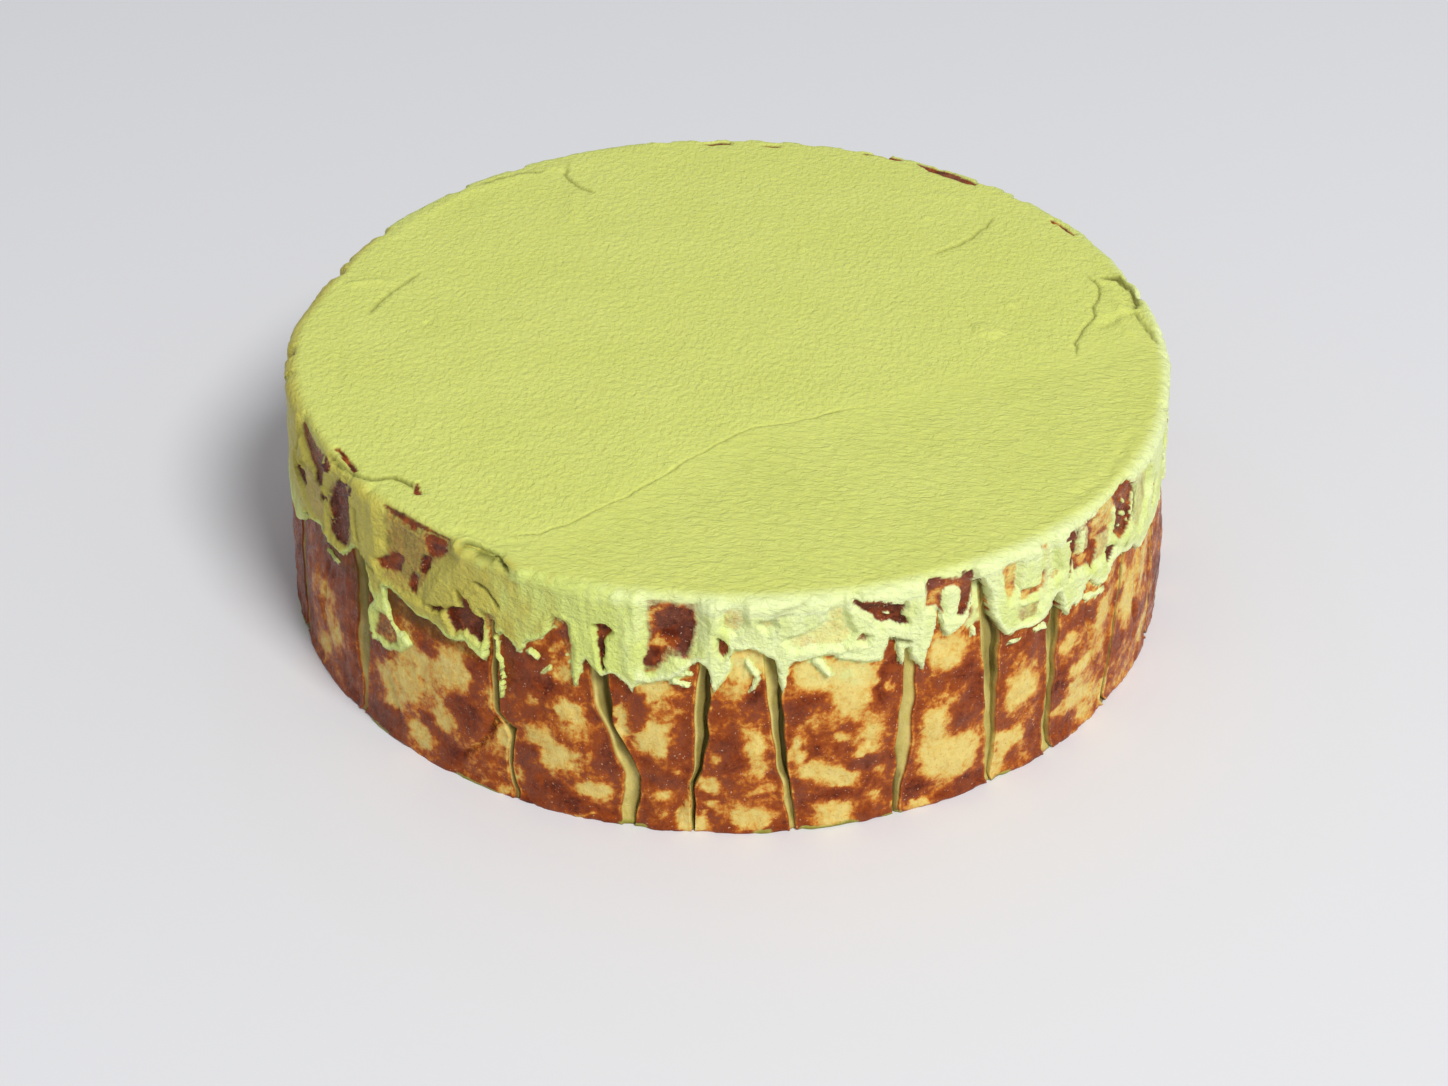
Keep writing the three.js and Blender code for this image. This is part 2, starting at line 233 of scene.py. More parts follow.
SLOTS = FRONT_SLOTS + [back_slot(i) for i in range(BACK_SLOTS)]


def slot_line(slot, z):
    """A slot's angle, half width and gap at each height."""
    heights, lefts, rights, gaps = np.array(slot[2]).T
    left, right = np.interp(z, heights, lefts), np.interp(z, heights, rights)
    seen = (left + right) / 2
    shows_at, _ = as_seen(seen, cake_radius(z) - 0.5, z)
    start = lefts[0]
    sway = 0.1 * np.sin(0.42 * z + 7 * start) + 0.07 * np.sin(0.95 * z + 3 * start)
    swell_out = 1 + 0.08 * np.sin(0.33 * z + 5 * start) + 0.08 * np.sin(0.8 * z + 2 * start)
    half = (right - left) / 2 * MM_PER_DEGREE * swell_out
    return 2 * seen - shows_at + sway, half, np.interp(z, heights, gaps)


def nearest_slot(angle, z):
    """How many mm a place lies off the lip of its nearest slot (negative inside it), how deep
    the slot is there, how much shade is painted there, and whether that is its easy side."""
    across, depth, gap = np.zeros((3, len(angle)))
    off_lip = np.full(len(angle), 1e9)
    for slot in SLOTS:
        centre, half, slot_gap = slot_line(slot, z)
        x = turn(centre, angle) * MM_PER_DEGREE
        nearer = np.abs(x) - half < off_lip
        across = np.where(nearer, x / half * slot[1], across)
        depth = np.where(nearer, slot[0], depth)
        gap = np.where(nearer, slot_gap, gap)
        off_lip = np.where(nearer, np.abs(x) - half, off_lip)
    # From its easy side (-1) a slot has a pale shelf, then a gap under its steep wall (1).
    shelf = 0.2 * smooth(-1, -0.86, across) + 0.1 * smooth(-0.8, 0.3, across)
    beside = 1 - smooth(0.92, 1.0, across)
    section = (shelf + 0.38 * smooth(gap, gap + 0.3, across)) * beside
    depth = depth * section * (1 - 0.95 * smooth(36, 42, z)) * smooth(-3, 4, z)
    # Shade is painted into the slot, in olive: where the gap is wide, it reaches further out of it.
    wide_gap = 1 - smooth(0.3, 0.65, gap)
    olive_shade = mix(0.3, 0.66, wide_gap) * smooth(-0.85, mix(0.9, -0.4, wide_gap), across)
    painted_slot_shade = olive_shade + 0.08 * smooth(gap, gap + 0.4, across)
    return off_lip, depth, painted_slot_shade * (across < 0.99) * (off_lip < 0.05), across < 0


# ---------------------------------------------------------------- crust

# Cracks and folds on the side: a path of angles and heights, its width and its depth.
SIDE_CRACKS = [
    ([(-27.6, 15), (-28.6, 11.6), (-30, 8.3), (-33, 4)], 0.45, 1.2),
    ([(-27.8, 14.7), (-26, 14.6), (-24.5, 14.3)], 0.3, 0.7),
    ([(-3.6, 9), (-4.7, 5.5), (-5.2, 2.5), (-6, 1)], 0.35, 0.6),
    ([(-12, 23.4), (-11.6, 20.6), (-11.2, 18.2)], 0.25, 0.6),
    ([(9.5, 16), (10.6, 14.5), (12, 14.6)], 0.35, 0.5),
    ([(-44.5, 12), (-43.2, 7), (-42.6, 2)], 0.5, 0.6),
    ([(-59, 24), (-60.5, 14), (-59.5, 4)], 0.5, 0.6),
    ([(48, 26), (49.5, 17), (52, 10)], 0.5, 0.6),
    ([(62, 28), (61, 18), (63, 6)], 0.5, 0.7),
]


def crust_relief(points):
    """The skin's own swells, creases and grains, in mm."""
    creases = np.abs(ripple(points, (2.2, 2.2, 7), 3))
    swells = 0.3 * ripple(points, 9, 1) + 0.2 * ripple(points, 4, 2)
    return swells - 0.2 * (1 - smooth(0, 0.3, creases)) + 0.1 * ripple(points, 1.3, 4)


FOOT_RADIUS = 78.6  # the skin's near the foot, before its swells


def crust_radius(angle, z, points):
    """How far out the skin stands. It rounds down towards the slots."""
    off_lip, depth, _, easy_side = nearest_slot(angle, z)
    radius = np.minimum(cake_radius(z), FOOT_RADIUS) - 0.15 - 0.35 * (1 - smooth(-0.2, 4.5, off_lip))
    radius += 0.5 * hump(z, 1) - depth
    upper = 1 - smooth(37, 41, z)
    # The skin's edge stands up as a thin lip, most on a slot's easy side.
    lip = hump(off_lip - 0.2, 0.3) * mix(0.1, 0.3, easy_side)
    radius += lip * upper * (0.6 + 0.6 * ripple(points, 3.5, 5))
    panel = smooth(0, 1.2, off_lip) * upper
    radius += panel * crust_relief(points)
    radius += 0.12 * ripple(points, 2, 6) * (1 - panel) * upper
    for path, width, cut in SIDE_CRACKS:
        off, _, along = near_path(unrolled(path), turn(0, angle) * MM_PER_DEGREE, z)
        radius -= cut * hump(off, width) * smooth(0, 0.2, 1.02 - along)
    # The foot stands a little unevenly.
    radius += 0.25 * ripple(points, 5, 8) * (1 - smooth(0, 3, z))
    return np.minimum(radius, WIDEST)


# Where the front is browner (+) or paler (-) than the rest: angle, height, their half sizes
# and by how much.
FRONT_PATCHES = [
    (-69, 14, 3, 9, 0.3), (-55, 25, 4, 4, 0.4), (-57, 12.5, 3, 3.2, -0.45), (-58.5, 19, 2, 2, -0.3),
    (-62, 17, 2, 2.4, -0.3), (-60.5, 5.5, 2.4, 2.8, -0.3), (-53, 5.5, 2, 4, 0.3),
    (-43, 13, 4, 3.4, -0.45), (-40, 20, 4, 4, -0.35), (-37.5, 24, 1.8, 2, 0.3),
    (-37.5, 8, 1.6, 1.8, 0.35), (-35.4, 11, 1.2, 2.8, -0.5), (-33.5, 22, 2.4, 4, -0.4),
    (-32, 14.6, 2.4, 3.4, 0.4), (-39, 4.3, 2.2, 2.6, -0.6), (-43.8, 8.2, 1.6, 1.5, -0.6),
    (-45.5, 3.5, 3, 2.2, 0.5), (-46, 17, 2, 1.2, 0.2), (-34, 5, 1.6, 3, 0.4), (-30, 22, 1.2, 3, 0.3),
    (-28.6, 20, 0.9, 3, -0.3), (-26.4, 12, 1, 2.4, -0.9), (-27, 6, 2, 3, -0.15), (-26, 2, 0.6, 1, -0.5),
    (-23, 26, 3.4, 4.4, 0.35), (-22.8, 21.3, 1, 1, -0.3), (-18.2, 21.3, 1.8, 2, -0.75),
    (-21.6, 14.6, 2, 2.2, -0.55), (-19.5, 11.6, 1.8, 3, -0.8), (-17, 17.6, 1.8, 2, -0.25),
    (-16.4, 12.4, 0.8, 1.6, -0.3), (-14.9, 6.2, 1.6, 2.2, -0.85), (-24.4, 5.4, 0.7, 1.4, -0.4),
    (-20.5, 4.5, 2.6, 3, 0.2), (-23.5, 10.6, 1.3, 1.4, 0.2), (-13.4, 14.5, 0.9, 4.5, 0.35),
    (-12.1, 21, 0.6, 2.8, -1.0), (-17, 2.6, 2, 1.3, 0.4), (-18.8, 28.3, 1.3, 1.9, -0.55),
    (-16.4, 1.4, 1.6, 0.5, -0.6), (-8.4, 28, 1.8, 2.2, -0.7), (-8, 18.3, 1.9, 3, -0.95),
    (-6.6, 24.5, 1.6, 1.8, -0.3), (-5.6, 12, 0.7, 1.1, -0.45), (-7.2, 7.2, 0.8, 0.8, -0.4),
    (-6.8, 4.2, 1.3, 0.8, -0.2), (-9.8, 24, 0.7, 4, 0.3), (-5.4, 17, 0.9, 3, 0.3),
    (-7, 10.6, 2, 1.6, 0.3), (-1.4, 15.4, 0.6, 1.6, -0.6), (-1.5, 10, 0.9, 1.6, -0.8),
    (-1.2, 5.6, 0.8, 1.4, -0.6), (-4.2, 3.4, 0.7, 3.4, -0.9), (-2.3, 2.2, 0.9, 1.4, -0.8),
    (0.5, 27, 1.8, 3, -0.2), (0.8, 16.6, 1.3, 4.5, 0.35), (3.6, 17.6, 1.1, 2.6, -0.65),
    (3.8, 13, 1.2, 2.2, -0.45), (4.5, 9.3, 1.1, 1, -0.4), (3.7, 3.6, 2.6, 2, -0.95),
    (3.2, 29, 0.9, 3, 0.5), (2, 33.6, 2.3, 3.2, -1.3), (8.3, 16.5, 0.8, 3, -0.85),
    (10, 12.6, 1.3, 1.4, -0.85), (12.4, 11.4, 1.6, 1.6, -0.9), (14.4, 9.6, 1.4, 1.4, -0.8),
    (10.4, 16, 0.8, 1.5, 0.45), (12.7, 19, 0.9, 1.2, -0.6), (16.8, 18, 1.2, 1.5, -0.4),
    (16.4, 15.4, 1.3, 1.1, -0.6), (14.4, 25.6, 2, 3, -0.85), (8.2, 25, 1.3, 2.2, 0.3),
    (11, 22.4, 2, 1.8, -0.2), (17, 21, 1.6, 2, -0.2), (13, 3.4, 2, 2, -0.9), (17.8, 5.5, 0.7, 1, -0.45),
    (18, 10.2, 0.8, 0.8, -0.3), (16.4, 12.4, 2.4, 1.2, 0.35), (12.6, 7, 2.6, 0.8, 0.4),
    (17.8, 28, 0.7, 4, 0.5), (18.9, 26.6, 0.7, 1.3, -0.35), (25.6, 31, 2.8, 2.8, -0.85),
    (24.4, 18, 1.3, 3, -0.8), (25, 12, 2, 4.4, -0.85), (27.4, 8.5, 2, 3.6, -0.6),
    (23, 4.6, 1.4, 2, 0.4), (23, 1.6, 1.6, 0.7, -0.6), (27.2, 22, 1.1, 1.6, -0.3),
    (28.6, 24, 2, 4, 0.3), (28.6, 16.4, 1.4, 1.4, 0.3), (29.4, 9, 2.2, 4.2, -0.65),
    (26.8, 13.6, 0.6, 0.8, 0.35), (28.8, 6.6, 0.8, 0.6, 0.3), (29, 17.6, 0.6, 0.9, -0.3),
    (30, 3, 1.8, 1.4, 0.35), (36.8, 18, 2.3, 3.2, -0.95), (36.4, 7.8, 2.5, 2.2, -0.85),
    (34.4, 3.6, 1.4, 2.4, -0.75), (36.4, 25.5, 2.4, 2.4, 0.12), (36.2, 24, 0.8, 1, -0.3),
    (39.4, 7.6, 1.1, 1.8, 0.4), (39.2, 2.8, 0.8, 1, -0.3), (45, 21.6, 1.4, 2.2, -0.6),
    (48, 14.8, 2.4, 1.3, -0.75), (47, 11.4, 1.6, 1.4, -0.6), (48, 7.8, 2.4, 1.6, -0.8),
    (44.2, 7.8, 0.7, 1, -0.6), (46.5, 3.6, 2, 1.6, 0.3), (49.6, 3.6, 1.6, 1.6, -0.6),
    (51, 23, 1.2, 3.4, -0.65), (44, 14, 1.2, 4, 0.3), (52.4, 15.6, 1, 2, -0.4),
    (47, 25.5, 2.4, 1.8, 0.3), (53.8, 4.5, 1.6, 1.8, -0.5), (56, 26.4, 0.9, 1.8, -0.7),
    (58.6, 20.5, 1.8, 4.4, -0.8), (55.4, 23, 0.7, 2.6, 0.3), (56, 12, 1.8, 3, 0.3),
    (62, 12, 2.4, 4, 0.3), (63.5, 22, 1.6, 3, -0.4), (66, 8, 2, 3, -0.5), (10.4, 31.2, 3.4, 3, -1.1),
    (15.2, 30, 2, 2.4, -0.9),
    # in the bare patches of the cream
    (-6.8, 39, 3.4, 6, 0.4), (-9.2, 43, 0.8, 1.2, -0.9), (-7.4, 37.4, 1, 1.4, -0.8),
]

# Where a little melted cream tints the crust below its edge: as above.
MELTS = [
    (10.5, 31.3, 3.6, 3, 0.35), (26.3, 31.3, 2.6, 3, 0.15), (28.7, 35.4, 0.9, 1.4, 0.65),
    (28.9, 39.6, 0.9, 3.8, 0.75), (2, 33.4, 1.8, 2.8, 0.4), (-8.5, 28.3, 1.8, 2, 0.3),
    (-19, 28.5, 1.2, 1.6, 0.25), (14.6, 30, 2, 2.4, 0.35), (16.8, 34.6, 1, 1.6, 0.5),
]

# Where the crust lies in the olive shadow of the cream: as above.
SHADOWS = [
    (-42, 28.8, 4, 2.2, 0.6), (-36.5, 27.6, 3, 1.8, 0.55), (-49.6, 27, 1.8, 8, 0.6),
    (-57, 28.6, 5, 1.4, 0.4), (-31.5, 27, 2, 1.2, 0.4),
]

# Where oil has run out at the foot: angle and half width.
OILY = [(-72, 4), (-47, 2), (-30.5, 3), (-10.3, 1.6), (4.8, 1), (12.6, 3.4), (20.4, 1.2), (35.5, 1.5)]
OILY += [(80 + 17 * i, 2 + 3 * scatter(i, 25)) for i in range(12)]


def oily_foot(angle, z, points):
    """1 where the foot is oily and olive."""
    oily = np.zeros(len(z))
    for middle, half in OILY:
        oily = np.maximum(oily, 1 - smooth(half - 0.7, half + 0.7, np.abs(turn(middle, angle))))
    return oily * (1 - smooth(0.3, 1.0, z - 0.4 * ripple(points, 3, 39)))


BACK_PATCHES = 120  # browner and paler patches round the back


def back_patch(i):
    """A patch as above, browner and paler in turn."""
    angle, height = 72 + 1.75 * i + 2 * scatter(i, 21), 19 + 34 * scatter(i, 22)
    return angle, height, 2 + 1.8 * scatter(i, 23), 3.8 + 3.6 * scatter(i, 24), 0.55 * (-1) ** i


PATCHES = FRONT_PATCHES + [back_patch(i) for i in range(BACK_PATCHES)]


def spots(patches, angle, z, points):
    """The patches' strengths added up, with wavering edges."""
    x = 1.0 * ripple(points, 2.6, 35) + 0.6 * ripple(points, 1.2, 36)
    y = z + 1.0 * ripple(points, 2.6, 37) + 0.6 * ripple(points, 1.2, 38)
    total = np.zeros(len(x))
    for middle, height, half_a, half_z, strength in patches:
        near = np.flatnonzero(np.abs(turn(middle, angle)) < 2 * half_a + 1.5)
        across = turn(middle, angle[near]) + x[near] / MM_PER_DEGREE
        off = np.hypot(across / half_a, (y[near] - height) / half_z)
        total[near] += strength * (1 - 0.7 * smooth(0.6, 1.2, off) - 0.3 * smooth(0.9, 1.9, off))
    return total


def browning(angle, z, points, cover):
    """How browned the skin is: 0 is pale, 1 is darkest."""
    beside = np.maximum(nearest_slot(angle, z)[0], 0)
    # Browner towards a slot's lip, and paler at the lip itself: a painted highlight along the lip.
    brown = 0.56 + 0.22 * np.exp(-beside / 1.6) - 0.3 * hump(beside - 0.15, 0.25)
    brown += 0.1 * np.exp(-z / 2.5) * (1 + ripple(points, 5, 31))
    # Paler amber in two panels at the left, and round to the right.
    round_front = turn(0, angle)
    brown -= 0.17 * hump(turn(-38.5, angle), 8) * smooth(6, 12, z) * (1 - smooth(24, 30, z))
    brown -= 0.14 * hump(turn(-60, angle), 7) * (1 - smooth(20, 26, z))
    brown -= 0.17 * smooth(42, 50, round_front) * (1 - smooth(68, 76, round_front))
    uneven = 0.2 * ripple(points, 2.8, 33) + 0.16 * ripple(points, 1.3, 34)
    brown += 0.16 * ripple(points, 6, 32) + uneven
    seen, height = as_seen(angle, cake_radius(z) - 0.4, z)
    brown += spots(PATCHES, seen, height, points)
    # Darker on the left: the crust is browner there, and the shade of the side away from the lamp is
    # painted in.
    brown += 0.16 * smooth(44, 60, -round_front) * (round_front > -110)
    brown = 0.5 + 0.5 * np.tanh(1.85 * (brown - 0.5))
    window = cover.skin + 0.6 * (brown - 0.6) + uneven
    return mix(brown, np.clip(window, 0, 1), cover.skin_share)


# ---------------------------------------------------------------- where the cream lies

# The cream's lower edge across the front: angle and height.
HEM = np.array([
    (-80, 28), (-78, 27), (-75, 25.5), (-72, 24), (-70, 23.5), (-68, 24.8), (-67, 25.8), (-66, 27),
    (-64.6, 28), (-64, 29.6), (-62, 29.8), (-60.5, 30.8), (-59.5, 31.2), (-58, 30.6), (-56, 29.9),
    (-54, 30), (-52.6, 31.3), (-50.8, 34.2), (-49.5, 34.5), (-48.5, 33.3), (-47.3, 32.5), (-46.4, 31),
    (-45.6, 30.5), (-43.5, 31.1), (-41.5, 30.3), (-40, 29.6), (-38.5, 29.1), (-37, 29.4), (-36, 28.9),
    (-34, 27.5), (-33, 27.8), (-31.7, 28.7), (-30.6, 27.5), (-29, 26), (-28.6, 28), (-28.2, 34.5),
    (-27.6, 34.5), (-27.2, 32), (-26.6, 32.8), (-25.5, 32), (-24.5, 30.5), (-24, 30.3), (-23.4, 32.5),
    (-22, 33.5), (-21.3, 34), (-20.3, 36.6), (-19.9, 37.2), (-18.9, 34), (-18, 30.4), (-17.6, 29.4),
    (-17.4, 26.6), (-17.2, 26.2), (-17, 29), (-16.6, 30.8), (-16, 32.2), (-15.5, 30.5), (-14.3, 29.2),
    (-13.3, 30), (-12.6, 29.8), (-11, 27.8), (-10.6, 27), (-10.3, 29), (-8.5, 29.6), (-6.5, 30.2),
    (-4.8, 32), (-3.7, 33.7), (-3.4, 34.2), (-2.4, 33), (-1.6, 29), (-1.4, 28.3), (-0.6, 30.3),
    (0.2, 32.5), (0.3, 36), (0.8, 36.7), (2.2, 36.7), (3.7, 35.7), (5.2, 34.3), (5.6, 31), (6.2, 28.4),
    (6.4, 28), (6.5, 31), (6.7, 33), (7.5, 34), (9, 34.2), (10.8, 34.8), (12, 34.2), (13.5, 33.3),
    (15, 32.6), (16.5, 32.4), (17.3, 32.6), (17.6, 33.3), (17.9, 36.3), (18.9, 36.1), (19.1, 34),
    (19.6, 31.2), (19.9, 30.5), (20.1, 33.2), (20.6, 33.6), (21.2, 31.4), (22, 30.1), (22.5, 28.9),
    (22.7, 28.6), (22.75, 31), (23.2, 33.4), (23.4, 35.6), (23.5, 39.4), (23.8, 39.6), (24.3, 36.2),
    (25.2, 34.3), (25.8, 34.1), (27, 35.6), (27.9, 36.6), (28.1, 40), (28.3, 43.2), (29.2, 43.4),
    (30.2, 40.2), (30.9, 37), (31.5, 34.5), (33, 31.3), (33.6, 29.9), (35, 30.2), (38, 29.7),
    (39.8, 29.9), (40.4, 33), (40.8, 33.6), (41.5, 33.5), (42, 32.3), (42.8, 29.3), (43.7, 27.8),
    (44.3, 29.7), (45.3, 29), (46, 29.5), (46.6, 31.8), (47, 32.5), (48.5, 30.5), (50, 29.5),
    (51.3, 30), (51.5, 31.8), (54, 32.3), (56, 31.2), (58, 30.8), (60, 28.5), (62, 28.3), (64, 29.5),
    (67, 29), (70, 30), (74, 32),
])
HEM_ENDS = (-78, 70)  # beyond these the back's runs take over

# A tongue that hangs below it at the left, and its curled foot.
TONGUE = [
    (-48.4, 34), (-47.5, 30.3), (-47.6, 29), (-46.8, 27), (-48, 24), (-47.6, 20), (-47, 18), (-46, 19),
    (-45, 18.2), (-43, 19.3), (-42, 19.5), (-40.7, 21.5), (-40.2, 22.5), (-41, 23.5), (-42.4, 23.7),
    (-43, 24.3), (-43.8, 26), (-44.4, 28.5), (-44.6, 32), (-46, 34),
]

# Dabs and threads of cream on the crust or in the bare patches: from and to, each an angle, a
# height and a half width.
DABS = [
    (-57.6, 40.2, 0.3, -55.4, 39.6, 0.15), (-56.6, 36.4, 0.3, -55.2, 34.6, 0.15),
    (-58.2, 27.3, 0.2, -55, 27.4, 0.25), (-27.6, 31.5, 0.25, -26.7, 24, 0.16),
    (-23, 30.6, 0.5, -22.3, 30, 0.4), (25.4, 41.8, 1.8, 25.5, 37.6, 1.2),
    (9.8, 33.8, 0.55, 11.3, 30.8, 0.45), (2, 34.2, 0.3, 3.1, 32, 0.55),
    (3.4, 30.9, 0.3, 2.6, 28.6, 0.15), (-6, 30, 0.35, -4.4, 29.3, 0.15),
    (-5.8, 31.2, 0.3, -4.2, 31.4, 0.2), (-20.4, 29, 0.25, -21.4, 27.2, 0.12),
    (-26.9, 23, 0.35, -26.8, 20, 0.2), (28.8, 33.8, 0.35, 28.9, 32.8, 0.35),
    (34.7, 28.1, 0.22, 35.7, 28.1, 0.22), (38.1, 28.6, 0.35, 39.9, 28.2, 0.4),
    (47.3, 28.8, 0.55, 50.6, 28, 0.3), (53, 41, 0.4, 53.9, 40.1, 0.3), (53, 43.5, 0.32, 53.3, 43, 0.3),
    (52.7, 38.8, 0.25, 53, 38.4, 0.25), (55.7, 42.5, 0.3, 56.3, 38.5, 0.25),
    (50.9, 43, 0.5, 51.4, 39, 0.4), (44.6, 43, 0.6, 45, 39.6, 0.5), (54.6, 38.6, 0.2, 55.4, 37.6, 0.15),
    (17.5, 41, 0.3, 17.8, 40.8, 0.25), (-33.2, 36.2, 0.3, -32.4, 35, 0.3),
]

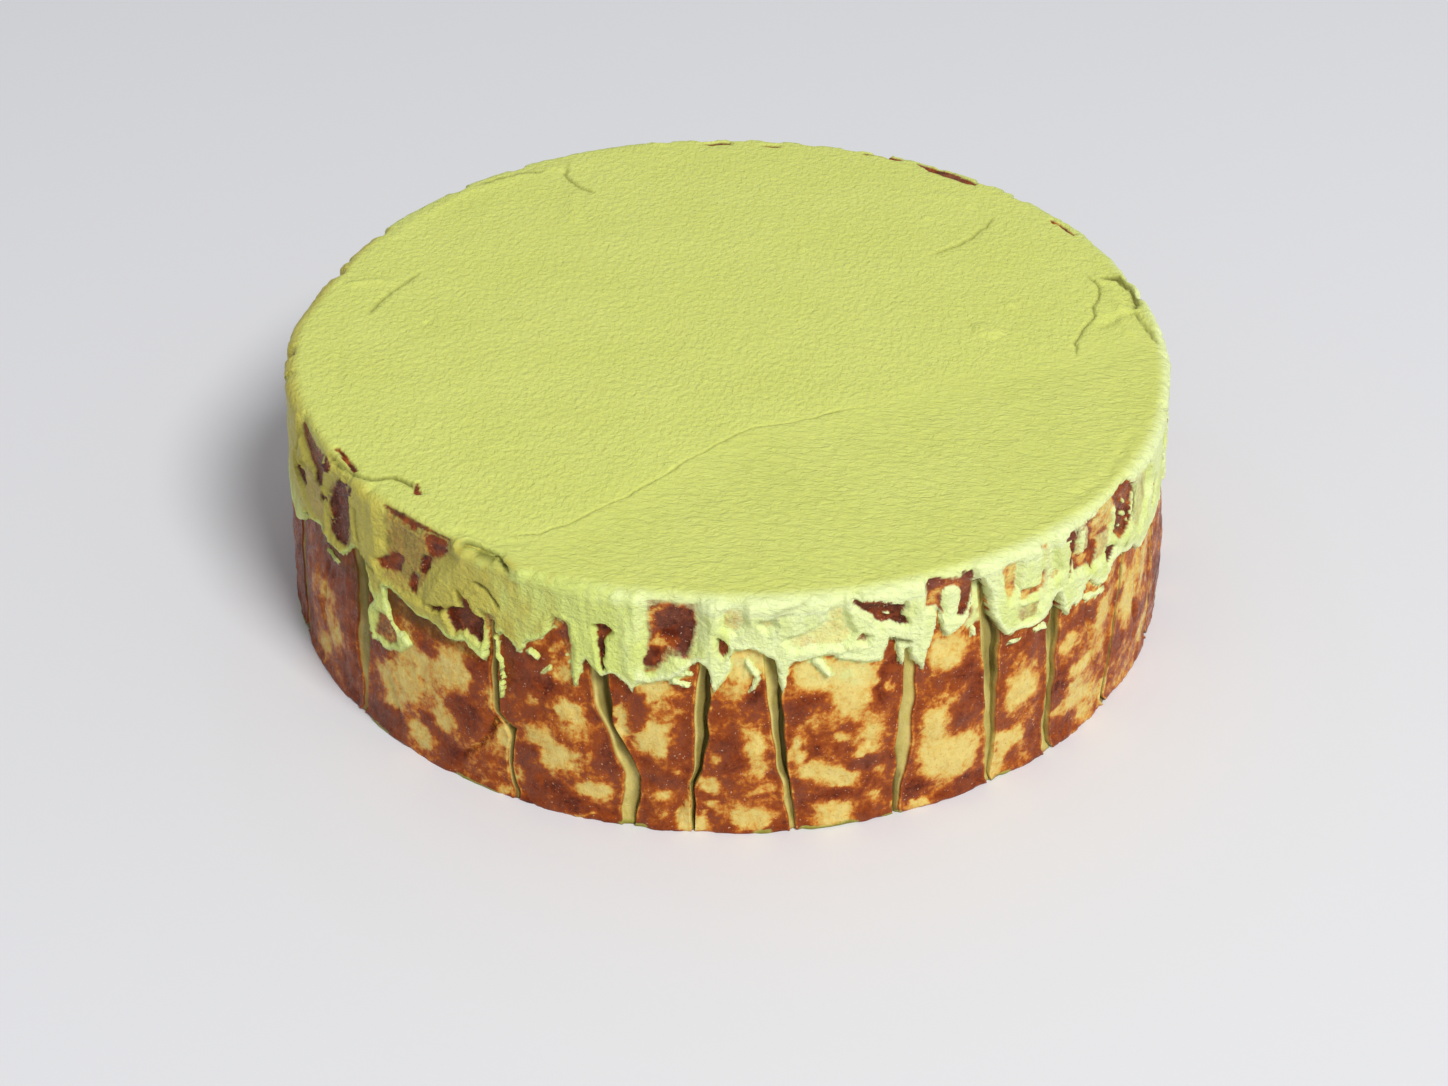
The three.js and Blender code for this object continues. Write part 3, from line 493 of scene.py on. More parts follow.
# Patches scraped bare or thin: how brown the crust is there, how much of the cream's colour
# stays, how softly the edge fades, and the outline.
DEEP, RUST, OCHRE, STRAW, PALEST = 0.95, 0.78, 0.5, 0.28, 0.12
WINDOWS = [
    # Wide thin patches, under the rest.
    (RUST, 0.5, 1.5, [(-45, 46.3), (-41, 47), (-36, 46.8), (-33.4, 46.2), (-33.6, 43.6), (-36.6, 39),
     (-38, 34), (-45.5, 34), (-44.2, 38), (-44.4, 43)]),
    (RUST, 0.45, 1.2, [(-57, 31.6), (-52, 32.4), (-51.2, 37), (-51.5, 44.5), (-54.5, 44.5), (-57, 40)]),
    (OCHRE, 0.6, 1.0, [(-66, 33), (-61.5, 31.5), (-58.4, 32), (-58, 39), (-62, 40), (-66, 38)]),
    (OCHRE, 0.4, 1.2, [(-9.6, 44.6), (-3.6, 44.6), (-3.4, 40), (-4.2, 34), (-6, 34.6), (-8, 31.2),
     (-9.6, 31), (-9.2, 38)]),
    (OCHRE, 0.5, 0.8, [(43.4, 44.4), (46.4, 44.6), (47.4, 41), (50.6, 40.6), (50.8, 36.6),
     (48.6, 35.2), (46.4, 35.6), (44.4, 36), (43.4, 38)]),
    (RUST, 0.2, 0.7, [(-45, 46.2), (-41.4, 46.8), (-39, 46.8), (-36, 46.6), (-33.6, 46.3),
     (-33.6, 45.8), (-36, 45.8), (-39, 45.4), (-41, 44.6), (-44.6, 45.4)]),
    (RUST, 0.15, 0.8, [(-67.5, 45.4), (-63, 46), (-58.6, 46.4), (-56.8, 44.6), (-57.4, 42), (-60, 41),
     (-64, 41.9), (-67, 42.6)]),
    (DEEP, 0.05, 0.4, [(-60.6, 43), (-59.2, 44.4), (-57.8, 43.6), (-57.2, 41.4), (-58.8, 39.4),
     (-60.6, 39.4)]),
    (DEEP, 0.08, 0.4, [(-70.5, 36), (-69.5, 37.2), (-66, 36.4), (-64.8, 35), (-66, 33.8), (-68, 32.8),
     (-70.5, 33.5)]),
    (DEEP, 0.1, 0.3, [(-66.2, 27.6), (-64.4, 29.9), (-63.8, 29.4), (-65, 28)]),
    (DEEP, 0.2, 0.3, [(-59.2, 36.6), (-58.6, 38.4), (-57.6, 38.8), (-57, 38), (-58.4, 37)]),
    (DEEP, 0.05, 0.35, [(-54.8, 42), (-54.5, 43.5), (-53.5, 45), (-52.2, 44.5), (-51.7, 42.5),
     (-51.6, 40), (-51.3, 38.5), (-52, 36.5), (-52.4, 34), (-53, 32.2), (-55, 31.6), (-56.6, 32.6),
     (-56.2, 35), (-56.4, 38), (-55.5, 40.5)]),
    (OCHRE, 0.6, 0.8, [(-50.2, 34), (-48.4, 33), (-48, 26), (-49.6, 26.5)]),
    (RUST, 0.3, 0.9, [(-46.8, 19.8), (-46.2, 24.8), (-44.4, 25.2), (-42.8, 23.2), (-42.4, 21),
     (-44.2, 19.6)]),
    (RUST, 0.1, 0.9, [(-46.2, 34.6), (-44.7, 36.6), (-43, 38.4), (-41.6, 39), (-41, 38.3),
     (-41.6, 35.4), (-42.8, 34.8), (-45.3, 33.8)]),
    (OCHRE, 0.6, 0.9, [(-45, 34), (-42, 34.8), (-38.3, 33.6), (-38, 32.6), (-41, 32.2), (-45, 32.6)]),
    (RUST, 0.15, 0.6, [(-41, 46.5), (-39.2, 46.5), (-39, 45), (-39.5, 44.3), (-40.8, 44.8)]),
    (STRAW, 0.5, 0.3, [(-44, 44.5), (-43, 44.3), (-43.3, 42.3), (-44, 42.2)]),
    (RUST, 0.05, 0.9, [(-37.8, 45), (-36.5, 45.8), (-34.4, 45.6), (-34.2, 43.7), (-35.3, 41.9),
     (-37, 41), (-37.5, 42.5)]),
    (DEEP, 0.08, 0.5, [(-37.7, 41.4), (-36.4, 41), (-37.1, 38.6), (-38, 37.5), (-38.6, 38),
     (-38, 40.5)]),
    (DEEP, 0.08, 0.5, [(-39.6, 37), (-38.4, 36.8), (-39, 34), (-39.5, 32.5), (-40.6, 33.8),
     (-40.1, 35.5)]),
    (DEEP, 0.08, 0.25, [(-37, 32.5), (-35.5, 33), (-34.8, 33.5), (-34.5, 33), (-35.8, 31.8),
     (-36.6, 31.6)]),
    (DEEP, 0.03, 0.3, [(-34.5, 33), (-33, 34.5), (-32, 34.5), (-32.4, 37.7), (-31.8, 37.5), (-31, 36),
     (-30.3, 34.7), (-29.2, 34.3), (-29.2, 31), (-29.4, 29), (-30.5, 30), (-31.5, 30.8), (-33.2, 29.2),
     (-34, 31.5)]),
    (OCHRE, 0.45, 0.5, [(-29, 36), (-27.6, 35.5), (-27.2, 28), (-28.4, 26)]),
    (OCHRE, 0.15, 0.7, [(-20.4, 37), (-19.8, 38.6), (-18.6, 38), (-17.9, 34), (-18, 31), (-19, 30),
     (-20.2, 32)]),
    (RUST, 0.03, 0.25, [(-15, 39), (-14, 39.2), (-13, 38.4), (-13.9, 36.2), (-14, 32), (-13.8, 31),
     (-14.2, 30.5), (-14.7, 34.5), (-14.9, 38)]),
    (OCHRE, 0.08, 0.5, [(-8.9, 43.6), (-6.8, 44), (-4, 43.6), (-3.9, 41), (-4.1, 38), (-4.8, 34.5),
     (-5.6, 36), (-7, 36.2), (-7.8, 33), (-8.6, 32.1), (-9.3, 32.2), (-9.6, 33), (-8.6, 38), (-9, 41)]),
    (DEEP, 0.02, 0.6, [(-7.8, 42), (-6.6, 43.3), (-4.6, 43), (-4.3, 40.5), (-4.2, 38), (-4.7, 35.4),
     (-5.3, 36.8), (-5.8, 38.4), (-7.4, 38.8), (-7.9, 40.4)]),
    (DEEP, 0.05, 0.5, [(-8.4, 35.8), (-7.8, 34.6), (-8, 32.8), (-8.8, 32.2), (-9.4, 33), (-9, 35)]),
    (RUST, 0.08, 0.2, [(-1.2, 38.9), (-0.1, 37.2), (0, 35.8), (-0.6, 34.8), (-1.1, 36)]),
    (STRAW, 0.55, 0.6, [(-0.8, 43.4), (1.2, 43.8), (1.5, 41.4), (0.6, 40), (-0.8, 41)]),
    (STRAW, 0.55, 0.5, [(3.3, 41.8), (4.4, 42.2), (5, 41.2), (4, 40.5)]),
    (PALEST, 0.55, 0.6, [(6.4, 38.3), (8.5, 39.5), (10, 40.3), (10.8, 41.5), (11, 43.5), (12.4, 43.9),
     (12.8, 41), (13.6, 38.8), (13.2, 37.6), (12.4, 36.8), (8, 36.7), (6.8, 36.7)]),
    (RUST, 0.35, 0.4, [(14.2, 36.6), (14.8, 38.1), (15.7, 37.6), (15.4, 36.2)]),
    (DEEP, 0.04, 0.25, [(13.2, 44.1), (15.4, 43.6), (17.5, 42.9), (19.4, 42.2), (19.7, 42.8),
     (19.8, 41.6), (19.3, 40.2), (20.1, 38.9), (20, 38), (18.3, 39.2), (16.4, 39.8), (15.8, 41),
     (14.6, 42.6)]),
    (OCHRE, 0.2, 0.5, [(22.3, 43.8), (22.6, 45.5), (23.4, 45.6), (24.2, 44.9), (26.5, 44.5), (28, 45),
     (28.4, 42), (28, 40.3), (27.8, 38.5), (27.4, 37.1), (25.8, 37.6), (24.4, 38.2), (23.6, 40.6),
     (22.4, 40.8)]),
    (RUST, 0.05, 0.4, [(22.4, 43.8), (22.5, 45.5), (24, 45.3), (24.3, 44.3), (23.4, 43.4)]),
    (RUST, 0.1, 0.4, [(26.8, 45), (28.2, 45.2), (28.4, 43.4), (27.4, 43.8)]),
    (DEEP, 0.05, 0.4, [(25.6, 37.6), (27.2, 37.6), (27.9, 39.4), (28.2, 41.6), (27.3, 41.2),
     (26.6, 39.6), (25.6, 38.8)]),
    (STRAW, 0.3, 0.5, [(32, 43.5), (33.8, 44), (34.4, 43.7), (34.3, 38.5), (33.9, 37.2), (33.4, 37),
     (32.9, 39.5), (32.5, 41.5)]),
    (OCHRE, 0.3, 0.25, [(37.6, 45), (38, 44.2), (39, 43.6), (38.9, 44.1), (38.3, 44.6)]),
    (OCHRE, 0.3, 0.5, [(35, 38), (38, 37.5), (38.3, 39.5), (39, 40), (39.1, 38.5), (38.5, 36.5),
     (36.5, 35.8), (35.2, 35.7)]),
    (STRAW, 0.5, 0.6, [(39.3, 38.2), (40.6, 39.1), (41.5, 38), (40.4, 37)]),
    (OCHRE, 0.65, 0.8, [(38.2, 44.5), (39.2, 45), (39.9, 40), (39.6, 35.2), (38.4, 35)]),
    (OCHRE, 0.5, 0.8, [(35, 34.6), (38.6, 34.2), (38, 31.6), (36, 31.4), (35, 32.6)]),
    (DEEP, 0.03, 0.25, [(42.2, 43.4), (43.9, 44), (43.7, 41), (43.4, 37), (43.2, 35.2), (42.7, 36.5),
     (42.5, 41)]),
    (OCHRE, 0.1, 0.4, [(43.6, 39.4), (44.6, 38.6), (46.2, 39.4), (47, 37), (46.4, 36.2), (44, 36.3)]),
    (RUST, 0.05, 0.35, [(45.6, 44.6), (47, 44.6), (47.5, 40), (48.2, 38.5), (47.4, 34.4), (46.4, 36.6),
     (45.9, 41)]),
    (STRAW, 0.25, 0.5, [(47, 44.6), (49, 45.4), (51.6, 46.2), (51.4, 41.6), (49.6, 40), (47.2, 40)]),
    (OCHRE, 0.55, 0.8, [(48.2, 40.6), (50.6, 40.6), (50.8, 37), (49.6, 36), (48.4, 38)]),
    (OCHRE, 0.6, 1.0, [(56.6, 45), (60, 44.6), (61, 40), (59, 33), (57, 36)]),
    (RUST, 0.03, 0.4, [(51.2, 46.2), (52.5, 46.8), (54.6, 46.2), (56, 43.8), (56.9, 40), (56.5, 37.4),
     (55, 35.6), (53.6, 35.6), (52, 37.8), (51.2, 38.8), (51.6, 43)]),
    (DEEP, 0.03, 0.4, [(51.8, 41), (53.6, 42), (55.4, 40), (56.2, 37.4), (54.6, 36), (52.6, 38)]),
    (DEEP, 0.08, 0.3, [(50.2, 36.3), (51.5, 36.2), (52.3, 35.3), (50.8, 32.3), (50, 35)]),
    (DEEP, 0.08, 0.4, [(62.6, 38.6), (64.2, 39.4), (66, 37), (65.6, 33.4), (63.8, 33)]),
]

# Raised folds and creases of the cream, with shade painted into the creases: a path of angles
# and heights, its width, how high it stands (or how deep it is cut, if negative) and how much
# shade is painted along it.
FOLDS = [
    ([(-37, 39.6), (-33.8, 42.8)], 0.45, 0.5, 0),
    ([(-31.4, 37.7), (-30.4, 39.4), (-29, 40.2)], 0.4, 0.45, 0),
    ([(-30, 40.6), (-28.6, 40.6), (-27.6, 39.2), (-26.4, 37.5)], 0.3, -0.7, 0.75),
    ([(-34.6, 32.8), (-34.6, 31.5), (-33.4, 30.1)], 0.3, 0.4, 0),
    ([(-44.4, 28.5), (-42.6, 23.7)], 0.4, 0.5, 0),
    ([(-66.8, 45.5), (-68, 41), (-69.4, 37)], 0.45, -0.6, 0.5),
    ([(-32.4, 45.6), (-31.6, 46.7), (-30, 47.1), (-28.2, 46.8), (-27, 45.6),
     (-25.6, 44.3)], 0.5, -1.2, 1),
    ([(-30.6, 46), (-28.8, 45.6), (-27.8, 44.9)], 1.0, -0.9, 0.85),
    ([(-32.9, 43.6), (-33.2, 45.4), (-32.6, 46.8), (-31.4, 47.8), (-28.7, 47.9)], 0.4, 0.6, 0),
    ([(-26.6, 46.6), (-25, 45.6), (-23.4, 44.4)], 1.3, 0.7, 0),
    ([(-48.2, 34), (-47.4, 33), (-46.2, 32.2)], 0.3, -0.4, 0.5),
    ([(-60.6, 31.6), (-58, 31.4), (-56, 30.8), (-53.6, 31.4), (-52.2, 32.6)], 0.35, 0.4, 0),
    ([(-43.2, 42.3), (-43, 44.6)], 0.35, -0.5, 0.6),
    ([(-58.6, 37.4), (-57.6, 39)], 0.4, -0.4, 0.6),
    ([(-55.8, 37.6), (-54.6, 39.4)], 0.3, -0.4, 0.6),
    ([(-39.8, 40.2), (-36.6, 41.6), (-34, 42.6)], 0.3, 0.45, 0),
    ([(28.6, 43.4), (29.5, 41), (29.9, 39), (30.2, 37.3), (31.3, 34), (32, 32.8),
     (32.9, 31.2)], 0.4, -0.9, 0.95),
    ([(18.6, 36.1), (19.6, 35.5), (20.9, 34.6)], 0.35, -0.7, 0.9),
    ([(23.4, 40.6), (24.3, 38.2), (24.2, 36.4), (25.1, 34.3)], 0.2, -0.5, 0.6),
    ([(24.9, 38.4), (24.7, 36.6), (25.4, 34.9), (26, 34.7), (27, 35.9), (27.8, 36.9)], 0.3, 0.35, 0),
    ([(4, 42), (5.5, 43.2), (8.6, 44.3)], 0.3, -0.35, 0.35),
    ([(6.6, 36.2), (9, 35.9), (13, 36), (16.6, 36.3)], 0.5, 0.4, 0),
    ([(7.2, 34.6), (9, 34.8), (10.8, 35.3), (13.4, 33.9), (16.8, 33)], 0.4, 0.35, 0),
    ([(-2.2, 42), (-2, 37), (-1.7, 31)], 0.6, 0.35, 0),
    ([(-11.8, 43), (-11.4, 36), (-10.9, 29)], 0.7, 0.3, 0),
    ([(21.2, 43), (21.8, 37), (22.3, 31)], 0.6, 0.3, 0),
    ([(-49.6, 43), (-49.2, 36)], 0.5, -0.3, 0.3),
    ([(56.4, 45), (56.6, 41), (57.2, 36)], 0.3, -0.5, 0.6),
    ([(55, 33.8), (55.6, 32.6)], 0.6, -0.4, 0.75),
    ([(58, 44), (59, 41), (60, 38)], 0.5, -0.3, 0.45),
    ([(-44.6, 45.9), (-41, 46.3), (-36, 46.1), (-33, 45.7)], 0.5, 0, 0.5),
]

# Round the back the cream runs down every few degrees.
BACK_FROM = 71
BACK_TO = 277
BACK_STEP = 5.6


def back_runs():
    """The runs of cream round the back, from and to as the dabs are, and the bare patches
    between them, which also have how softly they fade and how much of the colour stays."""
    runs, patches = [], []
    for i in range(math.ceil((BACK_TO - BACK_FROM) / BACK_STEP)):
        angle = BACK_FROM + BACK_STEP * i + 2 * scatter(i, 11)
        tip = 32.4 + 8 * scatter(i, 12)
        tip_angle = angle + 2 * scatter(i, 13)
        runs.append((angle, 45, 4.4, tip_angle, tip, 1.5 + 1.4 * scatter(i, 14)))
        if scatter(i, 15) > 0.1:
            bare = angle + 2.5
            patches.append((bare, 42.5, 1.6, bare + 2 * scatter(i, 16), 38, 1.2, 0.4, 0.06))
        if scatter(i, 17) > 0:
            thin = angle - 1.2
            patches.append((thin, 41.5, 0.9, thin + 3 * scatter(i, 18), 36.5, 1.3, 0.6, 0.3))
    return runs, patches


BACK_RUNS, BACK_BARE = back_runs()


def inside_smear(smear, angle, z):
    """How many mm a place lies inside a dab, run or patch."""
    a0, z0, w0, a1, z1, w1 = smear[:6]
    x = turn(a0, angle) * MM_PER_DEGREE
    y = z - z0
    dx = turn(a0, a1) * MM_PER_DEGREE
    dy = z1 - z0
    t = np.clip((x * dx + y * dy) / (dx * dx + dy * dy), 0, 1)
    return mix(w0, w1, t) - np.hypot(x - dx * t, y - dy * t)


NO_LIMIT = 9.0  # mm, more than the cream stands anywhere


class Cover:
    """How the cream covers places of the side: how far inside its edge they lie (reach), the
    most that it may stand there (limit), its colour left (left), how brown the crust is where
    it is bare (skin, counting as much as skin_share), its folds, and how much shade is painted
    into them (shade). On the crust, where it has melted in (melt) and where its painted shadow
    lies (under).
    """

    def __init__(self, angle, radius, z, points):
        seen, height = as_seen(angle, radius, z)
        coarse_x, coarse_z = ripple(points, 2.3, 41), ripple(points, (2, 2, 3.5), 42)
        fine_x, fine_z = ripple(points, 0.9, 43), ripple(points, 0.9, 44)
        self.angle = seen + (0.3 * coarse_x + 0.22 * fine_x) / MM_PER_DEGREE
        self.z = height + 0.3 * coarse_z + 0.22 * fine_z
        self.x = turn(0, self.angle) * MM_PER_DEGREE
        self.limit = np.full(len(z), NO_LIMIT)
        self.left = np.ones(len(z))
        self.skin, self.skin_share, self.folds, self.shade = np.zeros((4, len(z)))
        self.add_hem(z, points)
        self.add_windows()
        self.add_dabs()
        self.add_folds()
        self.melt = np.clip(spots(MELTS, seen, height, points), 0, 0.7)
        self.under = np.clip(spots(SHADOWS, seen, height, points), 0, 0.7)

    def near(self, low, high):
        """The places between two angles of the front, or a little beyond."""
        low, high = low * MM_PER_DEGREE - 3, high * MM_PER_DEGREE + 3
        return np.flatnonzero((self.x > low) & (self.x < high))

    def round_about(self, angle):
        """The places within a few degrees of an angle."""
        return np.flatnonzero(np.abs(turn(angle, self.angle)) < 8)

    def add_hem(self, z, points):
        """How far inside the cream's lower edge places lie. On steep stretches that is less
        than the height over it."""
        round_front = turn(0, self.angle)
        slope = np.gradient(HEM[:, 1], HEM[:, 0]) / MM_PER_DEGREE
        lean = np.hypot(1, 0.6 * np.clip(np.interp(round_front, HEM[:, 0], slope), -4, 4))
        hem = (self.z - np.interp(round_front, HEM[:, 0], HEM[:, 1])) / lean
        beyond = np.maximum(HEM_ENDS[0] - round_front, round_front - HEM_ENDS[1])
        self.reach = np.where(beyond > 0, np.minimum(hem, 3 - 3 * beyond), hem)
        near = self.near(-49, -40)
        tongue = inside_outline(TONGUE, self.x[near], self.z[near])
        self.reach[near] = np.maximum(self.reach[near], tongue)
        for run in BACK_RUNS:
            near = self.round_about(run[0])
            inside = inside_smear(run, self.angle[near], self.z[near])
            self.reach[near] = np.maximum(self.reach[near], inside)
        # These hang from a ragged band.
        ragged = 2.4 * ripple(points, (7, 7, 999), 45) + 1.2 * ripple(points, (2.2, 2.2, 999), 46)
        band = self.z - 38 - ragged - 6 * (1 - smooth(0, 6, beyond))
        self.reach = np.maximum(self.reach, np.maximum(band, z - 43))

    def scrape(self, near, inside, soft, haze):
        """Thins the cream inside a patch, and its colour to a haze."""
        thin = np.maximum(0.12 - inside * 1.1 / (0.25 + soft), haze - 0.3)
        self.limit[near] = np.minimum(self.limit[near], thin)
        left = mix(1, haze, smooth(-0.6 * soft, 0.6 * soft, inside))
        self.left[near] = np.minimum(self.left[near], left)

    def add_windows(self):
        """The scraped patches, with the crust's brown in them."""
        for skin, haze, soft, outline in WINDOWS:
            angles = [a for a, _ in outline]
            near = self.near(min(angles), max(angles))
            inside = inside_outline(outline, self.x[near], self.z[near])
            self.scrape(near, inside, soft, haze)
            share = smooth(-0.8, -0.1, inside)
            self.skin[near] = mix(self.skin[near], skin, share)
            self.skin_share[near] = np.maximum(self.skin_share[near], share)
        for patch in BACK_BARE:
            near = self.round_about(patch[0])
            self.scrape(near, inside_smear(patch, self.angle[near], self.z[near]), *patch[6:])

    def add_dabs(self):
        for dab in DABS:
            near = self.near(min(dab[0], dab[3]), max(dab[0], dab[3]))
            inside = inside_smear(dab, self.angle[near], self.z[near])
            stands = 0.15 + 0.6 * (1 - np.exp(-np.maximum(inside, 0) / 0.3))
            stands = np.where(inside > -0.1, stands, -9)
            self.limit[near] = np.maximum(self.limit[near], stands)
            self.left[near] = np.maximum(self.left[near], smooth(-0.15, 0.15, inside))
            self.reach[near] = np.maximum(self.reach[near], inside)

    def add_folds(self):
        for path, width, rise, dark in FOLDS:
            near = self.near(min(a for a, _ in path), max(a for a, _ in path))
            off, _, along = near_path(unrolled(path), self.x[near], self.z[near])
            ends = smooth(0, 0.15, along + 0.02) * smooth(0, 0.15, 1.02 - along)
            self.folds[near] += rise * hump(off, width) * ends
            # Shade is painted along the fold, as dark as the table says.
            self.shade[near] = np.maximum(self.shade[near], dark * hump(off, width) * ends)

    def film(self):
        """The cream's colour on the crust: all of it inside its edge, fading out beyond."""
        beyond = np.maximum(smooth(-0.3, 0, self.reach), self.melt)
        return np.where(self.reach > 0, self.left, beyond)


# ---------------------------------------------------------------- cream

ROLL_START = 74.4  # the radius where the top begins to roll over
SIDE_TOP = 42.9  # the height where the roll has become the side
ROLL_FOOT = 42.45  # the height where the roll's mesh ends, over the skirt's
UPRIGHT_FROM = 38  # above this height the cream's side stands upright


def swell(angle):
    """How far the rim swells out, in mm, as the cream was smoothed on by hand."""
    a = np.radians(angle)
    waves = np.sin(3 * a + 0.8) + 0.7 * np.sin(7 * a + 2.1) + 0.5 * np.sin(17 * a)
    return 0.45 * waves / 2.2


def side_relief(points):
    """Knife streaks and small swells down the side."""
    streaks = 0.13 * ripple(points, (1.5, 1.5, 9), 51) + 0.07 * ripple(points, (0.8, 0.8, 4), 52)
    return streaks + 0.16 * ripple(points, 5, 53)


def cream_side(angle, z, points):
    """The radius of the cream's outside down the side, and how the cream covers it."""
    base = cake_radius(np.minimum(z, UPRIGHT_FROM))
    cover = Cover(angle, base, z, points)
    reach = cover.reach
    # It is thicker upwards and inwards from its edge, and has a low lip along it.
    full = mix(0.65, 1.1, smooth(30, 40, z)) * mix(0.75, 1, smooth(0, 2.5, reach))
    thick = full * (1 - np.exp(-np.maximum(reach, 0) / 0.22))
    lip = hump(reach - 0.5, 0.4) * (0.2 + 0.25 * ripple(points, 4, 54))
    thick += np.maximum(lip, 0) + (side_relief(points) + cover.folds) * smooth(0.1, 1.2, reach)
    thick = np.where(reach > 0, np.maximum(thick, 0.12), 3.2 * reach)
    # A bare patch has the crust for its floor, and a low ridge of cream round it.
    thick += 0.16 * hump(cover.limit - 1.3, 0.5) * (reach > 0.4)
    thick = np.minimum(thick, np.maximum(cover.limit, -0.3) + 0.4 * crust_relief(points))
    # Beyond its edge it drops behind the crust, but not where it meets the roll.
    thick = np.where(thick < -0.6, thick + 5 * (thick + 0.6), thick)
    thick = np.where(z > 41.2, np.maximum(thick, -0.5), np.maximum(thick, -6.8))
    return base + thick + 0.9 * swell(angle) * smooth(36, 43.8, z), cover


def paleness(angle, z, reach, points):
    """How pale the cream is: whiter along its lower edge; a painted highlight on its rim and
    painted light on its side from the front to the right; painted shade, in olive, on its left."""
    round_front = turn(0, angle)
    right = smooth(-25, 10, round_front) * (1 - smooth(80, 130, round_front))
    # A painted highlight along the rim, strongest on the side towards the lamp.
    rim = hump(z - 43.9, 1.3) * mix(0.2, 1, right)
    edge = hump(reach - 0.5, 0.6) * mix(0.45, 0.9, right)
    # Painted shade, in olive, on the left, away from the lamp.
    olive_shade = 0.95 * smooth(-6, -42, round_front) * (round_front > -120)
    olive_shade *= mix(0.2, 1, smooth(26, 31, z))
    # Painted light on the side that faces the lamp.
    bright = right * mix(1, 0.65, smooth(24, 34, round_front))
    streaks = 0.3 * ripple(points, (2, 2, 8), 55) + 0.8 * bright - olive_shade
    pale = np.clip(np.maximum(rim, edge) + streaks, -1, 1)
    # The very edge is thin and pale all round.
    return np.maximum(pale, mix(-1, 0.6, hump(reach - 0.3, 0.35)))


# The crack across the top, from the front left.
CRACK = [
    (-38, -62), (-30, -60.5), (-25, -57.5), (-20, -52.5), (-15, -48), (-11, -44), (-7, -38.5),
    (-3, -35), (2, -30), (5, -29), (10, -27.5), (15, -25), (24, -21.5),
]


def wrinkled(points):
    """1 in front of the crack, where the top's wrinkles lie straight across; 0 behind it."""
    x, y, _ = points.T
    off, side, _ = near_path([(-90, -70)] + CRACK + [(90, 12)], x - LEAN, y)
    return smooth(-6, 8, -off * side)


# Lines across the top: a path, its width, how deep it is cut (or how high it stands, if
# negative) and how far its left side stands above its right.
TOP_LINES = [
    (CRACK, 0.13, 0.4, -0.16),
    ([(-33, 65), (-33.5, 60), (-31, 55), (-27, 52)], 0.2, 0.4, 0.12),
    ([(-31, 54), (-31.5, 47), (-31, 40)], 1.2, -0.2, 0),
    ([(-71, 16), (-66.5, 17.2), (-62, 17.5)], 1.0, -0.35, 0),
    ([(-58, 21), (-62, 14), (-64, 9), (-65, 5)], 0.35, 0.4, 0.12),
    ([(-67.5, -5), (-67, -12), (-66, -20)], 0.6, 0.2, 0.08),
    ([(-66, -38), (-61, -44.6), (-57.5, -46.3), (-53.4, -45.5), (-50.9, -47),
     (-50.2, -49.4)], 0.3, 0.6, 0.25),
    ([(-61.4, -46), (-58.5, -47.8), (-56.4, -49.6)], 0.8, -0.4, 0),
    ([(66.6, 23.2), (70.6, 22.4), (72.4, 18.6), (73.3, 13.6), (72, 11)], 0.39, 0.75, 0.2),
    ([(72, 11), (73, 7), (74.3, 3), (75, -1)], 0.3, 0.5, 0),
    ([(69.5, 24.8), (73.2, 19.4), (74.8, 13), (75.3, 7), (75.8, 0)], 0.8, -0.5, 0),
    ([(64.5, 5), (68, 8), (72, 11)], 1.3, 0.5, 0),
    ([(67.5, 21.5), (70.2, 18), (71.2, 12.4)], 1.6, 0.5, 0),
    ([(48.5, 46), (47, 42), (43, 36), (38, 31.5), (35, 30)], 0.25, 0.35, -0.12),
    ([(35, 53), (43, 53), (44.5, 48)], 1.0, -0.25, 0),
    ([(64.5, 25), (66.5, 20), (66, 15), (64.5, 12), (64.5, 8), (62, 4), (60, -1),
     (59.5, -6)], 0.2, 0.4, 0.15),
    ([(-50, 55), (-44, 58.5), (-37, 61)], 0.3, 0.4, -0.12),
    ([(-66, 30), (-60, 42), (-52, 52), (-40, 60), (-28, 66)], 1.3, -0.25, 0),
    ([(68, 22), (70, 15), (69.5, 8), (70.5, 1)], 0.9, -0.3, 0),
    ([(-44, -59), (-36, -63), (-30, -62.5)], 0.9, 0.3, 0),
    ([(52, -50), (58, -44), (63, -36), (66.5, -28)], 0.8, 0.25, 0),
]

# Those that are fine cuts.
FINE_LINES = [line for line in TOP_LINES if line[1] < 0.4]

# Blobs, specks and small dents: x, y, radius, height.
TOP_BLOBS = [
    (44.5, 3, 1.9, 1.0), (43, 3.9, 1.3, 0.7), (49, 12, 0.9, 0.5), (12, 31.5, 0.6, 0.35),
    (8, 38, 0.5, 0.3), (36, 44, 0.8, 0.35), (34, -10, 0.6, 0.3), (-10.2, -41, 1.0, 0.4),
    (-54, 2.5, 0.8, -0.35), (-57.4, -48.6, 1.0, -0.8), (-16, 74, 1.6, 0.3), (22, 12, 0.5, 0.25),
    (30, -30, 0.5, 0.25), (-20, 10, 0.5, -0.25), (5, 55, 0.6, 0.3), (55, 30, 0.6, 0.3),
    (-5, -15, 0.4, 0.25),
]


def wrinkles(x, y):
    """The leathery skin of the top: short shallow wrinkles, lying across the front and leaning
    round towards the left and the back."""
    total = np.zeros(len(x))
    flat = flat_points(x, y)
    x = x + 1.2 * ripple(flat, 6, 58)
    y = y + 1.2 * ripple(flat, 6, 59)
    front = smooth(-40, 20, x - 0.4 * y)
    for direction, weight in ((8, front), (52, 1 - front)):
        c, s = math.cos(math.radians(direction)), math.sin(math.radians(direction))
        along, across = c * x + s * y, c * y - s * x
        flat = flat_points(along, across)
        fine = ripple(flat, (2.4, 1.1, 9), 61) + 0.7 * ripple(flat, (1.4, 0.8, 9), 62)
        total += weight * fine
    return total


